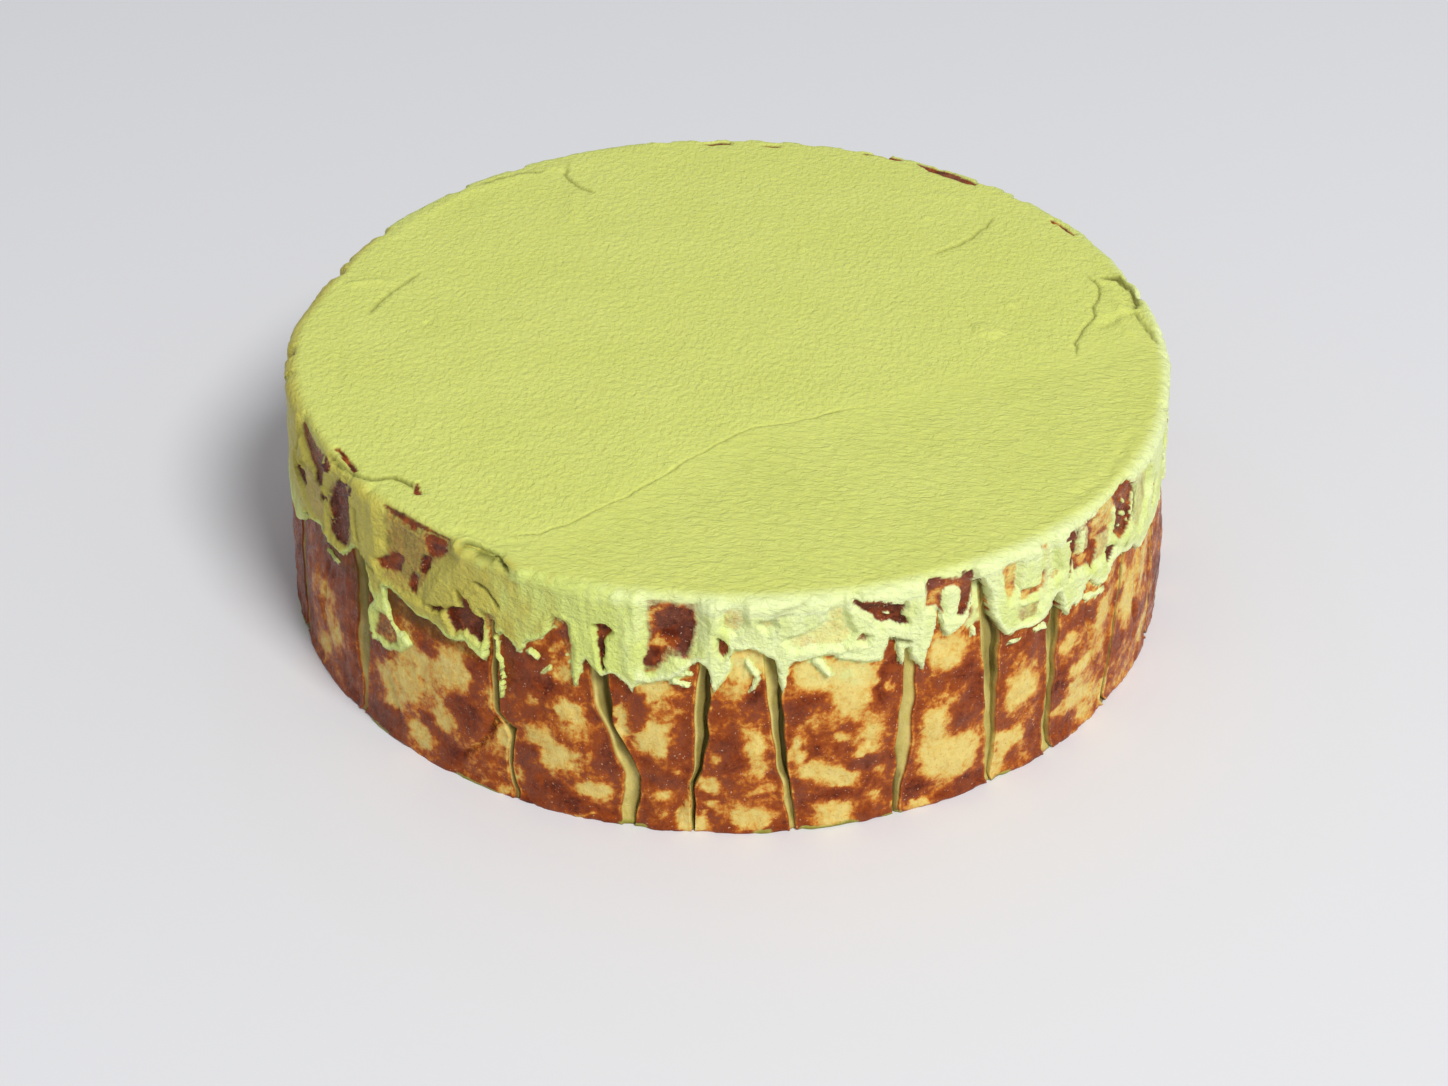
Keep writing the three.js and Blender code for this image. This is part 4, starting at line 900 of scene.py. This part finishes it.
def wander(x, y):
    """Places shifted a little, so that lines drawn through them waver."""
    flat = flat_points(x, y)
    shift_x = 0.5 * ripple(flat, 4, 66) + 0.2 * ripple(flat, 1.5, 68)
    shift_y = 0.5 * ripple(flat, 4, 67) + 0.2 * ripple(flat, 1.5, 69)
    return x + shift_x, y + shift_y


def gather(x, y, reach=2.4, step=0.02):
    """Pulls the mesh's points towards the fine lines, so that it can follow them."""
    for path, _, _, _ in FINE_LINES:
        off, _, _ = near_path(path, *wander(x, y))
        off_x, _, _ = near_path(path, *wander(x + step, y))
        off_y, _, _ = near_path(path, *wander(x, y + step))
        away_x, away_y = (off_x - off) / step, (off_y - off) / step
        size = np.maximum(np.hypot(away_x, away_y), 0.3)
        near = np.minimum(off / reach, 1)
        pull = (off - reach * near ** 1.7) * (off < reach)
        x, y = x - pull * away_x / size, y - pull * away_y / size
    return x, y


def fade_out(along):
    """1 along a line, running out to 0 at its ends."""
    return smooth(0, 0.12, along) * smooth(0, 0.12, 1 - along)


def top_relief(x, y):
    """Heights of the top about its level, in mm."""
    flat = flat_points(x, y)
    height = 0.16 * ripple(flat, 26, 63) + 0.08 * ripple(flat, 9, 64)
    height += 0.06 * wrinkles(x, y) + 0.03 * ripple(flat, 1.0, 65)
    wander_x, wander_y = wander(x, y)
    for path, width, depth, step in TOP_LINES:
        off, side, along = near_path(path, wander_x, wander_y)
        fade = fade_out(along)
        height -= depth * hump(off, width) * fade
        height += step * side * np.exp(-off / 3.5) * fade * 0.5 * smooth(0, 0.2, off)
    for bx, by, radius, rise in TOP_BLOBS:
        off = np.hypot(wander_x - bx, wander_y - by)
        height += rise * np.exp(-((off / radius) ** 4))
    return height


# Where the crust shows on the top's rim: from and to, each x, y and a half width.
TOP_SCRAPES = [
    (34.5, 66.3, 0.9, 39.5, 62.6, 1.7), (39.5, 62.6, 1.7, 44.6, 58.4, 0.7),
    (23.5, 70.6, 0.5, 31, 68.6, 0.7), (-7.5, 73.6, 0.4, -3, 73.8, 0.5), (4, 73.2, 0.3, 7, 72.6, 0.3),
    (58.5, 44.6, 0.4, 62, 39.6, 0.5), (-51.2, -47, 0.35, -50.6, -49.6, 0.7),
    (-65.5, -37, 0.3, -61.4, -43.6, 0.6),
]


def scraped_top(x, y):
    """1 where the top is scraped down to the crust."""
    wander_x, wander_y = wander(x, y)
    scraped = np.zeros(len(x))
    for x0, y0, w0, x1, y1, w1 in TOP_SCRAPES:
        off, _, along = near_path([(x0, y0), (x1, y1)], wander_x - LEAN, wander_y)
        scraped = np.maximum(scraped, smooth(-0.3, 0.3, mix(w0, w1, along) - off))
    return scraped


def crease_shade(x, y):
    """How much shade is painted into the fine cracks of the top."""
    wander_x, wander_y = wander(x, y)
    shade = np.zeros(len(x))
    for path, width, depth, _ in FINE_LINES:
        off, _, along = near_path(path, wander_x, wander_y)
        shade = np.maximum(shade, 1.3 * depth * hump(off, 1.3 * width) * fade_out(along))
    return shade


def top_height(x, y):
    """The height of the cream's top, in mm."""
    return np.minimum(CREAM_TOP - 0.35 + top_relief(x, y), HIGHEST)


# ---------------------------------------------------------------- meshes

def made_mesh(name, bm):
    mesh = bpy.data.meshes.new(name)
    bm.to_mesh(mesh)
    bm.free()
    return mesh


def add_object(name, data):
    thing = bpy.data.objects.new(name, data)
    bpy.context.scene.collection.objects.link(thing)
    return thing


DRUM = 10  # the radius at which a sheet is first rolled up


def rolled_sheet(name, rows, columns, ring=False):
    """A sheet of squares rolled up round the cake. A drum is closed at both ends; a ring's last
    row joins its first. Gives each point's column and row too, and whether it closes an end."""
    bm = bmesh.new()
    high = rows if ring else rows - 1
    bmesh.ops.create_grid(bm, x_segments=columns, y_segments=high, size=1)
    seam = [v for v in bm.verts if v.is_boundary]
    for v in bm.verts:
        turned, rise = math.pi * (v.co.x + 1), math.pi * (v.co.y + 1)
        out = DRUM + (math.cos(rise) if ring else 0)
        up = math.sin(rise) if ring else rise
        v.co = (out * math.cos(turned), out * math.sin(turned), up)
    bmesh.ops.remove_doubles(bm, verts=seam, dist=1e-4)
    if not ring:
        ends = bmesh.ops.holes_fill(bm, edges=bm.edges, sides=0)["faces"]
        bmesh.ops.poke(bm, faces=ends)
    mesh = made_mesh(name, bm)
    x, y, z = points_of(mesh).T
    out = np.hypot(x, y)
    column = np.round(np.arctan2(y, x) / (2 * math.pi) * columns).astype(int) % columns
    rise = np.arctan2(z, out - DRUM) % (2 * math.pi) if ring else z
    row = np.round(rise / (2 * math.pi) * high).astype(int)
    return mesh, column, row % rows, out < DRUM / 2


# The cake isn't quite round: angle, and how far it stands out there at its rim and halfway up.
UNEVEN = np.array([
    (-180, 1.0, 0.3), (-150, 0.8, 0.2), (-120, -0.6, -0.3), (-106, -1.3, -0.5), (-98, -0.7, -0.2),
    (-91, 0.6, 0), (-80, 0.7, 0), (-68, 0.3, 0), (-55, 0, 0), (52, 0, 0), (66, -0.8, -0.7),
    (78, -1.6, -1.3), (96, -1.8, -1.4), (110, -1.5, -1.0), (122, -0.3, 0), (140, 0.4, 0),
    (160, 0.9, 0.3), (180, 1.0, 0.3),
])
RIM_RADIUS = 76


def unround(points):
    """Moves places, in mm, in or out, as the cake isn't quite round."""
    x, y, z = points.T
    out = np.hypot(x - LEAN, y)
    angle = np.degrees(np.arctan2(x - LEAN, -y))
    rim, middle = (np.interp(angle, UNEVEN[:, 0], column) for column in UNEVEN[:, 1:].T)
    shift = mix(middle, rim, smooth(26, 40, z)) * smooth(6, 26, z) * (out / RIM_RADIUS) ** 3
    wider = 1 + shift / np.maximum(out, 1)
    return np.stack([(x - LEAN) * wider + LEAN, y * wider, z], -1)


def points_of(mesh):
    """A mesh's points, one in each row."""
    flat = np.empty(len(mesh.vertices) * 3)
    mesh.vertices.foreach_get("co", flat)
    return flat.reshape(-1, 3)


def finish_piece(name, mesh, points, node, slot, material, **values):
    """Places the points, in mm, turns the faces outwards, and adds the piece to the cake."""
    mesh.vertices.foreach_set("co", (unround(points) * MM).ravel())
    bm = bmesh.new()
    bm.from_mesh(mesh)
    if bm.calc_volume(signed=True) < 0:
        bmesh.ops.reverse_faces(bm, faces=bm.faces)
    bm.to_mesh(mesh)
    bm.free()
    mesh.shade_smooth()
    for key, value in values.items():
        attribute = mesh.attributes.new(key, "FLOAT", "POINT")
        attribute.data.foreach_set("value", np.ascontiguousarray(value, dtype=np.float32))
    mesh.materials.append(material)
    piece = add_object(name, mesh)
    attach(piece, "root")
    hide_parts(node)


END_RADIUS = 66  # of the flat faces' inner ring

# Where columns stand across a slot, in half widths, and how far apart they are on a panel.
SLOT_STOPS = np.array([
    -2.0, -1.5, -1.25, -1.1, -1.0, -0.94, -0.87, -0.75, -0.5, -0.25, 0.0, 0.15, 0.3, 0.45,
    0.6, 0.78, 0.92, 0.96, 1.0, 1.08, 1.25, 1.5, 2.0,
])
PANEL_STEP = 0.62


def crust_columns(heights):
    """The angle of every column at every height. Columns follow the slots."""
    table = []
    for here, after in zip(SLOTS, SLOTS[1:] + SLOTS[:1]):
        centre, half, _ = slot_line(here, heights)
        next_centre, next_half, _ = slot_line(after, heights)
        for stop in SLOT_STOPS:
            table.append(centre + stop * half / MM_PER_DEGREE)
        start = centre + SLOT_STOPS[-1] * half / MM_PER_DEGREE
        end = centre + turn(centre, next_centre) + SLOT_STOPS[0] * next_half / MM_PER_DEGREE
        steps = max(2, round(float(np.mean(end - start)) * MM_PER_DEGREE / PANEL_STEP))
        for step in range(1, steps):
            table.append(mix(start, end, step / steps))
    return np.array(table)


def make_crust(material):
    """The baked cheesecake, as a drum whose columns follow the slots of its side."""
    heights = np.concatenate([
        [0, 0, 0.25, 0.6, 1.0], np.arange(1.5, 40.1, 0.54), [40.8, 41.4, 41.8, CAKE_TOP, CAKE_TOP],
    ])
    last = len(heights) - 1
    angles = crust_columns(heights)
    mesh, column, row, on_axis = rolled_sheet("browned_cheesecake", len(heights), len(angles))
    angle, z = angles[column, row], heights[row]
    smoothed = place(angle, cake_radius(z), z)
    radius = crust_radius(angle, z, smoothed)
    cover = Cover(angle, cake_radius(z) - 0.3, z, smoothed)
    off_lip, depth, painted_slot_shade, _ = nearest_slot(angle, z)
    radius = np.where((row == 0) | (row == last), END_RADIUS, radius)
    radius[on_axis] = 0
    pressed = smooth(0.1, 0.5, depth) * (off_lip < 0.1)
    oil = oily_foot(angle, z, smoothed)
    finish_piece(
        "browned_cheesecake", mesh, place(angle, radius, z), "cheesecake", "baked_crust", material,
        brown=browning(angle, z, smoothed, cover), pressed=pressed,
        film=np.maximum(cover.film(), oil), side=np.ones(len(z)), pale=mix(0.5, -1, oil),
        # Shade is painted into folds, slot gaps and the cream's shadow; the oily foot is darkened with
        # it too.
        shade=np.max([cover.shade, cover.under, painted_slot_shade, 0.65 * oil], axis=0),
    )


TOP_GRID = 270  # squares across the top
ROLL_ROWS = 7  # rows of the roll over its edge
TUCK_ROWS = 4  # rows below, which go under into the cake
FRONT_CROWD = 0.35  # how much closer together the cream's columns stand at the front


def crowded(bearing):
    """Bearings, in degrees, drawn together towards the front."""
    return bearing - FRONT_CROWD * np.degrees(np.sin(np.radians(bearing)))


def hung_grid(name):
    """A square of fine squares with rows hung from its rim, closed underneath. Gives each
    point's place in a round of radius 1, and its row."""
    bm = bmesh.new()
    bmesh.ops.create_grid(bm, x_segments=TOP_GRID, y_segments=TOP_GRID, size=1)
    for _ in range(ROLL_ROWS + TUCK_ROWS):
        rim = [e for e in bm.edges if e.is_boundary]
        added = bmesh.ops.extrude_edge_only(bm, edges=rim)["geom"]
        hung = [g for g in added if isinstance(g, bmesh.types.BMVert)]
        bmesh.ops.translate(bm, verts=hung, vec=(0, 0, -1))
    rim = [e for e in bm.edges if e.is_boundary]
    bmesh.ops.edgeloop_fill(bm, edges=rim)
    bmesh.ops.poke(bm, faces=[f for f in bm.faces if len(f.verts) > 4])
    mesh = made_mesh(name, bm)
    a, b, row = points_of(mesh).T
    wide = np.abs(a) >= np.abs(b)
    safe_a, safe_b = np.where(a == 0, 1e-9, a), np.where(b == 0, 1e-9, b)
    spread = np.where(wide, a, b)
    bearing = np.where(wide, math.pi / 4 * b / safe_a, math.pi / 2 - math.pi / 4 * a / safe_b)
    return mesh, spread * np.cos(bearing), spread * np.sin(bearing), np.round(-row).astype(int)


def make_cream_top(material):
    """The top as a round of fine squares, rolled over its edge and closed underneath."""
    mesh, x, y, row = hung_grid("cream_top")
    angle = crowded(np.degrees(np.arctan2(x, -y)))
    share = np.hypot(x, y)
    radius = share * ROLL_START

    # The roll: a quarter turn from the top's level to the side, where it runs on a little.
    t = np.minimum(row / ROLL_ROWS, 1) * math.pi / 2
    down = row - ROLL_ROWS
    side_z = np.where(down > 0, ROLL_FOOT, SIDE_TOP)
    side_radius, _ = cream_side(angle, side_z, place(angle, cake_radius(UPRIGHT_FROM), side_z))
    edge = side_radius + 0.03
    rolled = row > 0
    radius = np.where(rolled, ROLL_START + (edge - ROLL_START) * np.sin(t), radius)
    sway = 0.5 * swell(angle) * smooth(60, ROLL_START, radius) * ~rolled
    x = (radius + sway) * np.sin(np.radians(angle))
    y = -(radius + sway) * np.cos(np.radians(angle))
    inner = (radius < 70) & ~rolled
    x[inner], y[inner] = gather(x[inner], y[inner])
    angle = np.where(inner, np.degrees(np.arctan2(x, -y)), angle)
    radius = np.hypot(x, y)
    level_z = top_height(x, y)
    z = np.where(rolled, side_z + (level_z - side_z) * np.cos(t) ** 0.9, level_z)
    spot = place(angle, radius, z)
    cover = Cover(angle, radius, z, spot)
    scraped = scraped_top(x, y)
    lumps = 0.22 * ripple(spot, 5, 71) + 0.1 * ripple(spot, 2, 72) + 1.2 * cover.folds
    dips = 0.5 * (1 - cover.left) + 0.7 * scraped
    radius = radius + rolled * np.sin(2 * t) * lumps - dips * np.sin(t) * (down < 0)
    z = z + (0.8 * cover.folds * smooth(70, 72, radius) - dips * (radius > 60)) * np.cos(t)
    z = np.minimum(z, HIGHEST)
    # Its last rows tuck under, into the cake.
    z = np.where(down == 2, ROLL_FOOT - 0.01, z)
    radius = np.where(down == 3, 71, np.where(down > 3, 60, radius))
    z = np.where(down >= 3, 41, z)
    radius = np.where((down == TUCK_ROWS) & (share < 0.5), 0, radius)
    # The side's bare patches reach up to its edge, and it has scrapes of its own.
    outer = smooth(71, 72.5, radius)
    cover.skin_share = np.maximum(cover.skin_share * outer, scraped)
    cover.skin = np.where(scraped > 0, RUST, cover.skin)
    finish_piece(
        "cream_top", mesh, place(angle, radius, z), "pistachio_cream", "cream", material,
        brown=browning(angle, z, spot, cover), pressed=np.zeros(len(z)),
        film=mix(1, cover.left, outer) * (1 - scraped), side=smooth(74.0, 76.8, radius),
        pale=paleness(angle, z, np.full(len(z), NO_LIMIT), spot), wrinkled=wrinkled(spot),
        shade=np.maximum(cover.shade * outer, crease_shade(x, y)),
    )


SKIRT_COLUMNS = 4 * TOP_GRID


def make_cream_skirt(material):
    """The cream on the side. Where there is none it dips behind the crust. Its first rows lean
    in under the roll, and its last ones close it behind."""
    upper = [44.4, 44, 43.7, 43.35, SIDE_TOP]
    heights = np.concatenate([upper, np.arange(ROLL_FOOT, 17.5, -0.36), [17, 17, 43]])
    outer = len(heights) - 2
    mesh, column, row, _ = rolled_sheet("cream_skirt", len(heights), SKIRT_COLUMNS, ring=True)
    angle = crowded(45 + column * 360 / SKIRT_COLUMNS)
    z = heights[row]
    smoothed = place(angle, cake_radius(np.minimum(z, UPRIGHT_FROM)), z)
    radius, cover = cream_side(angle, z, smoothed)
    radius -= 1.8 * np.clip((z - SIDE_TOP) / 1.3, 0, 1)
    radius = np.where(row == 0, 73, radius)
    radius = np.where(row == outer - 1, np.minimum(radius, 70), radius)
    radius = np.where(row >= outer, 69, radius)
    finish_piece(
        "cream_skirt", mesh, place(angle, radius, z), "pistachio_cream", "cream", material,
        brown=browning(angle, z, smoothed, cover), pressed=np.zeros(len(z)),
        film=cover.left * (cover.reach > -0.2), side=np.ones(len(z)),
        pale=paleness(angle, z, cover.reach, smoothed), wrinkled=np.zeros(len(z)),
        shade=cover.shade,
    )


# ---------------------------------------------------------------- materials

def linear(r, g, b):
    """A colour as it looks on a screen, 0 to 255, as the light values that shaders use."""
    return (*[((c / 255 + 0.055) / 1.055) ** 2.4 if c > 10 else c / 3295 for c in (r, g, b)], 1)


class Shader:
    """A material's nodes, added one by one from left to right."""

    def __init__(self, name):
        self.material = bpy.data.materials.new(name)
        self.material.use_nodes = True
        self.tree = self.material.node_tree
        self.surface = self.tree.nodes["Principled BSDF"]
        self.place = self.add("ShaderNodeTexCoord").outputs["Object"]

    def add(self, kind, inputs=(), **settings):
        node = self.tree.nodes.new(kind)
        for key, value in settings.items():
            setattr(node, key, value)
        for key, value in dict(inputs).items():
            self.put(node.inputs[key], value)
        return node

    def put(self, socket, value):
        """Links another node's output, or sets a value."""
        if isinstance(value, bpy.types.NodeSocket):
            self.tree.links.new(value, socket)
        else:
            socket.default_value = value

    def attribute(self, name):
        return self.add("ShaderNodeAttribute", attribute_name=name).outputs["Fac"]

    def noise(self, size, detail=3, rough=0.55, stretch=(1, 1, 1), warp=0):
        """Noise about size mm across, 0 to 1."""
        spot = self.add("ShaderNodeMapping", {"Vector": self.place, "Scale": stretch}).outputs[0]
        node = self.add("ShaderNodeTexNoise", {
            "Vector": spot, "Scale": 1 / (size * MM), "Detail": detail, "Roughness": rough,
            "Distortion": warp,
        })
        return node.outputs["Fac"]

    def math(self, operation, a, b=0.0, c=0.0):
        node = self.add("ShaderNodeMath", operation=operation)
        for socket, value in zip(node.inputs, (a, b, c)):
            self.put(socket, value)
        return node.outputs[0]

    def between(self, value, low, high, out_low=0.0, out_high=1.0):
        """From out_low to out_high as the value goes from low to high."""
        node = self.add("ShaderNodeMapRange", {
            "Value": value, "From Min": low, "From Max": high, "To Min": out_low, "To Max": out_high,
        }, interpolation_type="SMOOTHSTEP")
        return node.outputs[0]

    def blend(self, amount, a, b):
        """From one colour to another."""
        node = self.add("ShaderNodeMix", data_type="RGBA")
        for index, value in ((0, amount), (6, a), (7, b)):
            self.put(node.inputs[index], value)
        return node.outputs[2]

    def blend_values(self, amount, a, b):
        node = self.add("ShaderNodeMix", data_type="FLOAT")
        for index, value in ((0, amount), (2, a), (3, b)):
            self.put(node.inputs[index], value)
        return node.outputs[0]

    def ramp(self, value, stops):
        node = self.add("ShaderNodeValToRGB", {"Fac": value})
        elements = node.color_ramp.elements
        while len(elements) < len(stops):
            elements.new(0.5)
        for element, (at, colour) in zip(elements, stops):
            element.position = at
            element.color = colour
        return node.outputs["Color"]

    def bump(self, height, distance, strength, normal=None):
        node = self.add("ShaderNodeBump", {
            "Height": height, "Distance": distance * MM, "Strength": strength,
        })
        if normal:
            self.put(node.inputs["Normal"], normal)
        return node.outputs["Normal"]

    def set(self, **values):
        for key, value in values.items():
            self.put(self.surface.inputs[key.replace("_", " ")], value)


CURD = linear(229, 205, 121)
PALE = linear(223, 189, 99)
TAN = linear(216, 162, 76)
AMBER = linear(194, 112, 38)
BROWN = linear(156, 74, 24)
DARK = linear(124, 50, 14)
DARKEST = linear(88, 30, 6)
MAUVE = linear(136, 76, 52)
# Pale specks painted on the browned skin as glints of light.
PAINTED_GLINT_COLOUR = linear(236, 196, 160)
SLOT_PALE = linear(228, 213, 132)
SLOT_DEEP = linear(200, 182, 94)
CREAM_YELLOW = linear(222, 228, 126)
CREAM_LIME = linear(214, 221, 112)
# White of the cream's thin edges and streaks, and of the painted highlight and light on its rim and
# right side.
CREAM_WHITE = linear(232, 241, 176)
CREAM_GREEN = linear(214, 225, 124)
# Olive of streaks and the oily foot, and of the painted shade on the cream's left.
CREAM_OLIVE = linear(198, 186, 84)
NUT_SPECK = linear(150, 150, 60)
# Colours of painted shade on the crust and on the cream.
SHADE_OF_CRUST = linear(84, 66, 10)
SHADE_OF_CREAM = linear(104, 100, 30)


def crust_colour(s, brown):
    """Baked skin: pale where the batter stayed soft, amber to dark brown where it caught."""
    fine = s.noise(0.8, 4, 0.6, warp=0.5)
    mid = s.noise(2.4, 4, 0.6, warp=0.8)
    level = s.math("MULTIPLY_ADD", s.math("SUBTRACT", fine, 0.5), 0.7, brown)
    level = s.math("MULTIPLY_ADD", s.math("SUBTRACT", mid, 0.5), 0.7, level)
    colour = s.ramp(level, [
        (0.0, CURD), (0.16, PALE), (0.28, TAN), (0.41, AMBER), (0.55, BROWN), (0.84, DARK),
        (1.0, DARKEST),
    ])
    # The browned skin is duller in places.
    dull = s.math("MULTIPLY", s.between(s.noise(7, 3), 0.45, 0.6), s.between(level, 0.5, 0.7))
    colour = s.blend(s.math("MULTIPLY", dull, 0.45), colour, MAUVE)
    # Fine brown flecks, and painted glints: pale specks where the skin is browned.
    fleck = s.between(s.noise(0.55, 2, 0.5), 0.60, 0.72)
    colour = s.blend(s.math("MULTIPLY", fleck, 0.3), colour, BROWN)
    painted_glint = s.between(s.noise(0.42, 1), 0.70, 0.76)
    painted_glint = s.math("MULTIPLY", painted_glint, s.between(level, 0.3, 0.5, 0.0, 0.6))
    return s.blend(painted_glint, colour, PAINTED_GLINT_COLOUR)


def cream_colour(s, side, pale):
    """Pistachio cream: even and yellow on the top, streaked from white to olive on the side.
    On the side the pale attribute also brings painted highlight and light (white) and painted
    shade on the left (olive).
    """
    top = s.blend(s.noise(14, 3), CREAM_YELLOW, CREAM_LIME)
    smear = s.noise(3, 4, 0.6, stretch=(1, 1, 0.35), warp=0.3)
    whiter = s.math("MULTIPLY_ADD", s.math("SUBTRACT", smear, 0.5), 0.9, pale)
    low = s.blend(s.between(whiter, 0, 1), CREAM_GREEN, CREAM_WHITE)
    low = s.blend(s.between(whiter, 0, -0.8), low, CREAM_OLIVE)
    speck = s.between(s.noise(0.45, 1), 0.72, 0.78)
    low = s.blend(s.math("MULTIPLY", speck, 0.35), low, NUT_SPECK)
    return s.blend(side, top, low)


# How far light sinks into each, and how glossy it is.
CRUST_FINISH = {
    "Subsurface_Weight": 0.12, "Subsurface_Radius": (1.0, 0.5, 0.2), "Specular_IOR_Level": 0.15,
}
CREAM_FINISH = {
    "Subsurface_Weight": 0.25, "Subsurface_Radius": (1.0, 0.9, 0.35), "Specular_IOR_Level": 0.35,
}


def make_surface(name, cream):
    """One surface for crust and cream, as each shows through the other where the cream is thin.
    The mesh says how browned, pressed and covered each place is."""
    s = Shader(name)
    brown, pressed, film, side, pale, shade = (
        s.attribute(k) for k in ("brown", "pressed", "film", "side", "pale", "shade")
    )
    skin = crust_colour(s, brown)
    slot = s.ramp(s.noise(1.8, 4, 0.6, stretch=(1, 1, 0.5)), [(0.3, SLOT_DEEP), (0.7, SLOT_PALE)])
    skin = s.blend(pressed, skin, slot)
    ragged = s.math("MULTIPLY_ADD", s.math("SUBTRACT", s.noise(0.7, 3, 0.65), 0.5), 0.5, film)
    covered = s.between(ragged, 0.2, 0.8)
    colour = s.blend(covered, skin, cream_colour(s, side, pale))
    # Shade is painted in where the mesh's shade says: in creases, slot gaps and the cream's shadow.
    s.set(Base_Color=s.blend(shade, colour, s.blend(covered, SHADE_OF_CRUST, SHADE_OF_CREAM)))

    wet = s.between(s.noise(2.2, 3), 0.35, 0.65, 0.13, 0.4)
    matt = s.between(s.noise(3, 3), 0.3, 0.7, 0.42, 0.56)
    s.set(Roughness=s.blend_values(covered, wet, matt), IOR=1.45, Subsurface_Scale=0.7 * MM)
    s.set(**(CREAM_FINISH if cream else CRUST_FINISH))

    if cream:
        across = s.noise(1.0, 4, 0.6, stretch=(0.5, 1, 1), warp=1.0)
        grain = s.noise(0.8, 3, 0.6, stretch=(0.9, 0.7, 1), warp=0.3)
        normal = s.bump(s.blend_values(s.attribute("wrinkled"), grain, across), 0.55, 1.0)
    else:
        wrinkle = s.noise(1.3, 5, 0.65, stretch=(1, 1, 0.6), warp=0.5)
        normal = s.bump(wrinkle, 0.36, 0.9)
        normal = s.bump(s.noise(0.4, 3, 0.6), 0.08, 0.8, normal)
    s.set(Normal=normal)
    return s.material


FLOOR_REACH = 3  # metres each way
FLOOR_GREY = (0.80, 0.80, 0.82, 1)


def make_floor():
    """The plain floor that the cake stands on."""
    bm = bmesh.new()
    bmesh.ops.create_grid(bm, x_segments=1, y_segments=1, size=FLOOR_REACH)
    mesh = made_mesh("floor", bm)
    s = Shader("floor")
    s.set(Base_Color=FLOOR_GREY, Roughness=0.6)
    mesh.materials.append(s.material)
    add_object("floor", mesh)


# ---------------------------------------------------------------- camera and light

IMAGE_WIDTH = 1448  # pixels
FOCAL_PIXELS = 2406
SENSOR_WIDTH = 36  # mm
CAMERA_DOWN = 35.65  # these in degrees
CAMERA_LEFT = 0.25
CAMERA_ROLL = 0.76


def make_camera():
    """The camera, a little to the right of the front, looking down."""
    data = bpy.data.cameras.new("camera")
    data.sensor_width = SENSOR_WIDTH
    data.lens = SENSOR_WIDTH * FOCAL_PIXELS / IMAGE_WIDTH
    data.clip_start = 0.01
    camera = add_object("camera", data)
    camera.matrix_world = (
        Matrix.Translation([c * MM for c in EYE])
        @ Matrix.Rotation(math.radians(CAMERA_LEFT), 4, "Z")
        @ Matrix.Rotation(math.radians(90 - CAMERA_DOWN), 4, "X")
        @ Matrix.Rotation(math.radians(CAMERA_ROLL), 4, "Z")
    )
    bpy.context.scene.camera = camera


# One soft lamp at the front right, in metres and watts, and an even pale studio.
LAMP_PLACE = Vector((0.82, -1.2, 1.7))
LAMP_AIM = Vector((0, 0, 0.02))
LAMP_WIDTH = 0.77
LAMP_POWER = 40
STUDIO_COLOUR = (0.95, 0.97, 1, 1)
STUDIO_STRENGTH = 0.36


def make_lights():
    """The lamp and the studio about it."""
    data = bpy.data.lights.new("key", "AREA")
    data.shape = "DISK"
    data.size = LAMP_WIDTH
    data.energy = LAMP_POWER
    lamp = add_object("key", data)
    lamp.location = LAMP_PLACE
    lamp.rotation_euler = (LAMP_AIM - LAMP_PLACE).to_track_quat("-Z", "Y").to_euler()
    world = bpy.data.worlds.new("studio")
    world.use_nodes = True
    background = world.node_tree.nodes["Background"]
    background.inputs["Color"].default_value = STUDIO_COLOUR
    background.inputs["Strength"].default_value = STUDIO_STRENGTH
    bpy.context.scene.world = world


bpy.context.scene.view_settings.view_transform = "Standard"
make_crust(make_surface("browned_crust", cream=False))
pistachio_cream = make_surface("pistachio_cream", cream=True)
make_cream_top(pistachio_cream)
make_cream_skirt(pistachio_cream)
make_floor()
make_camera()
make_lights()
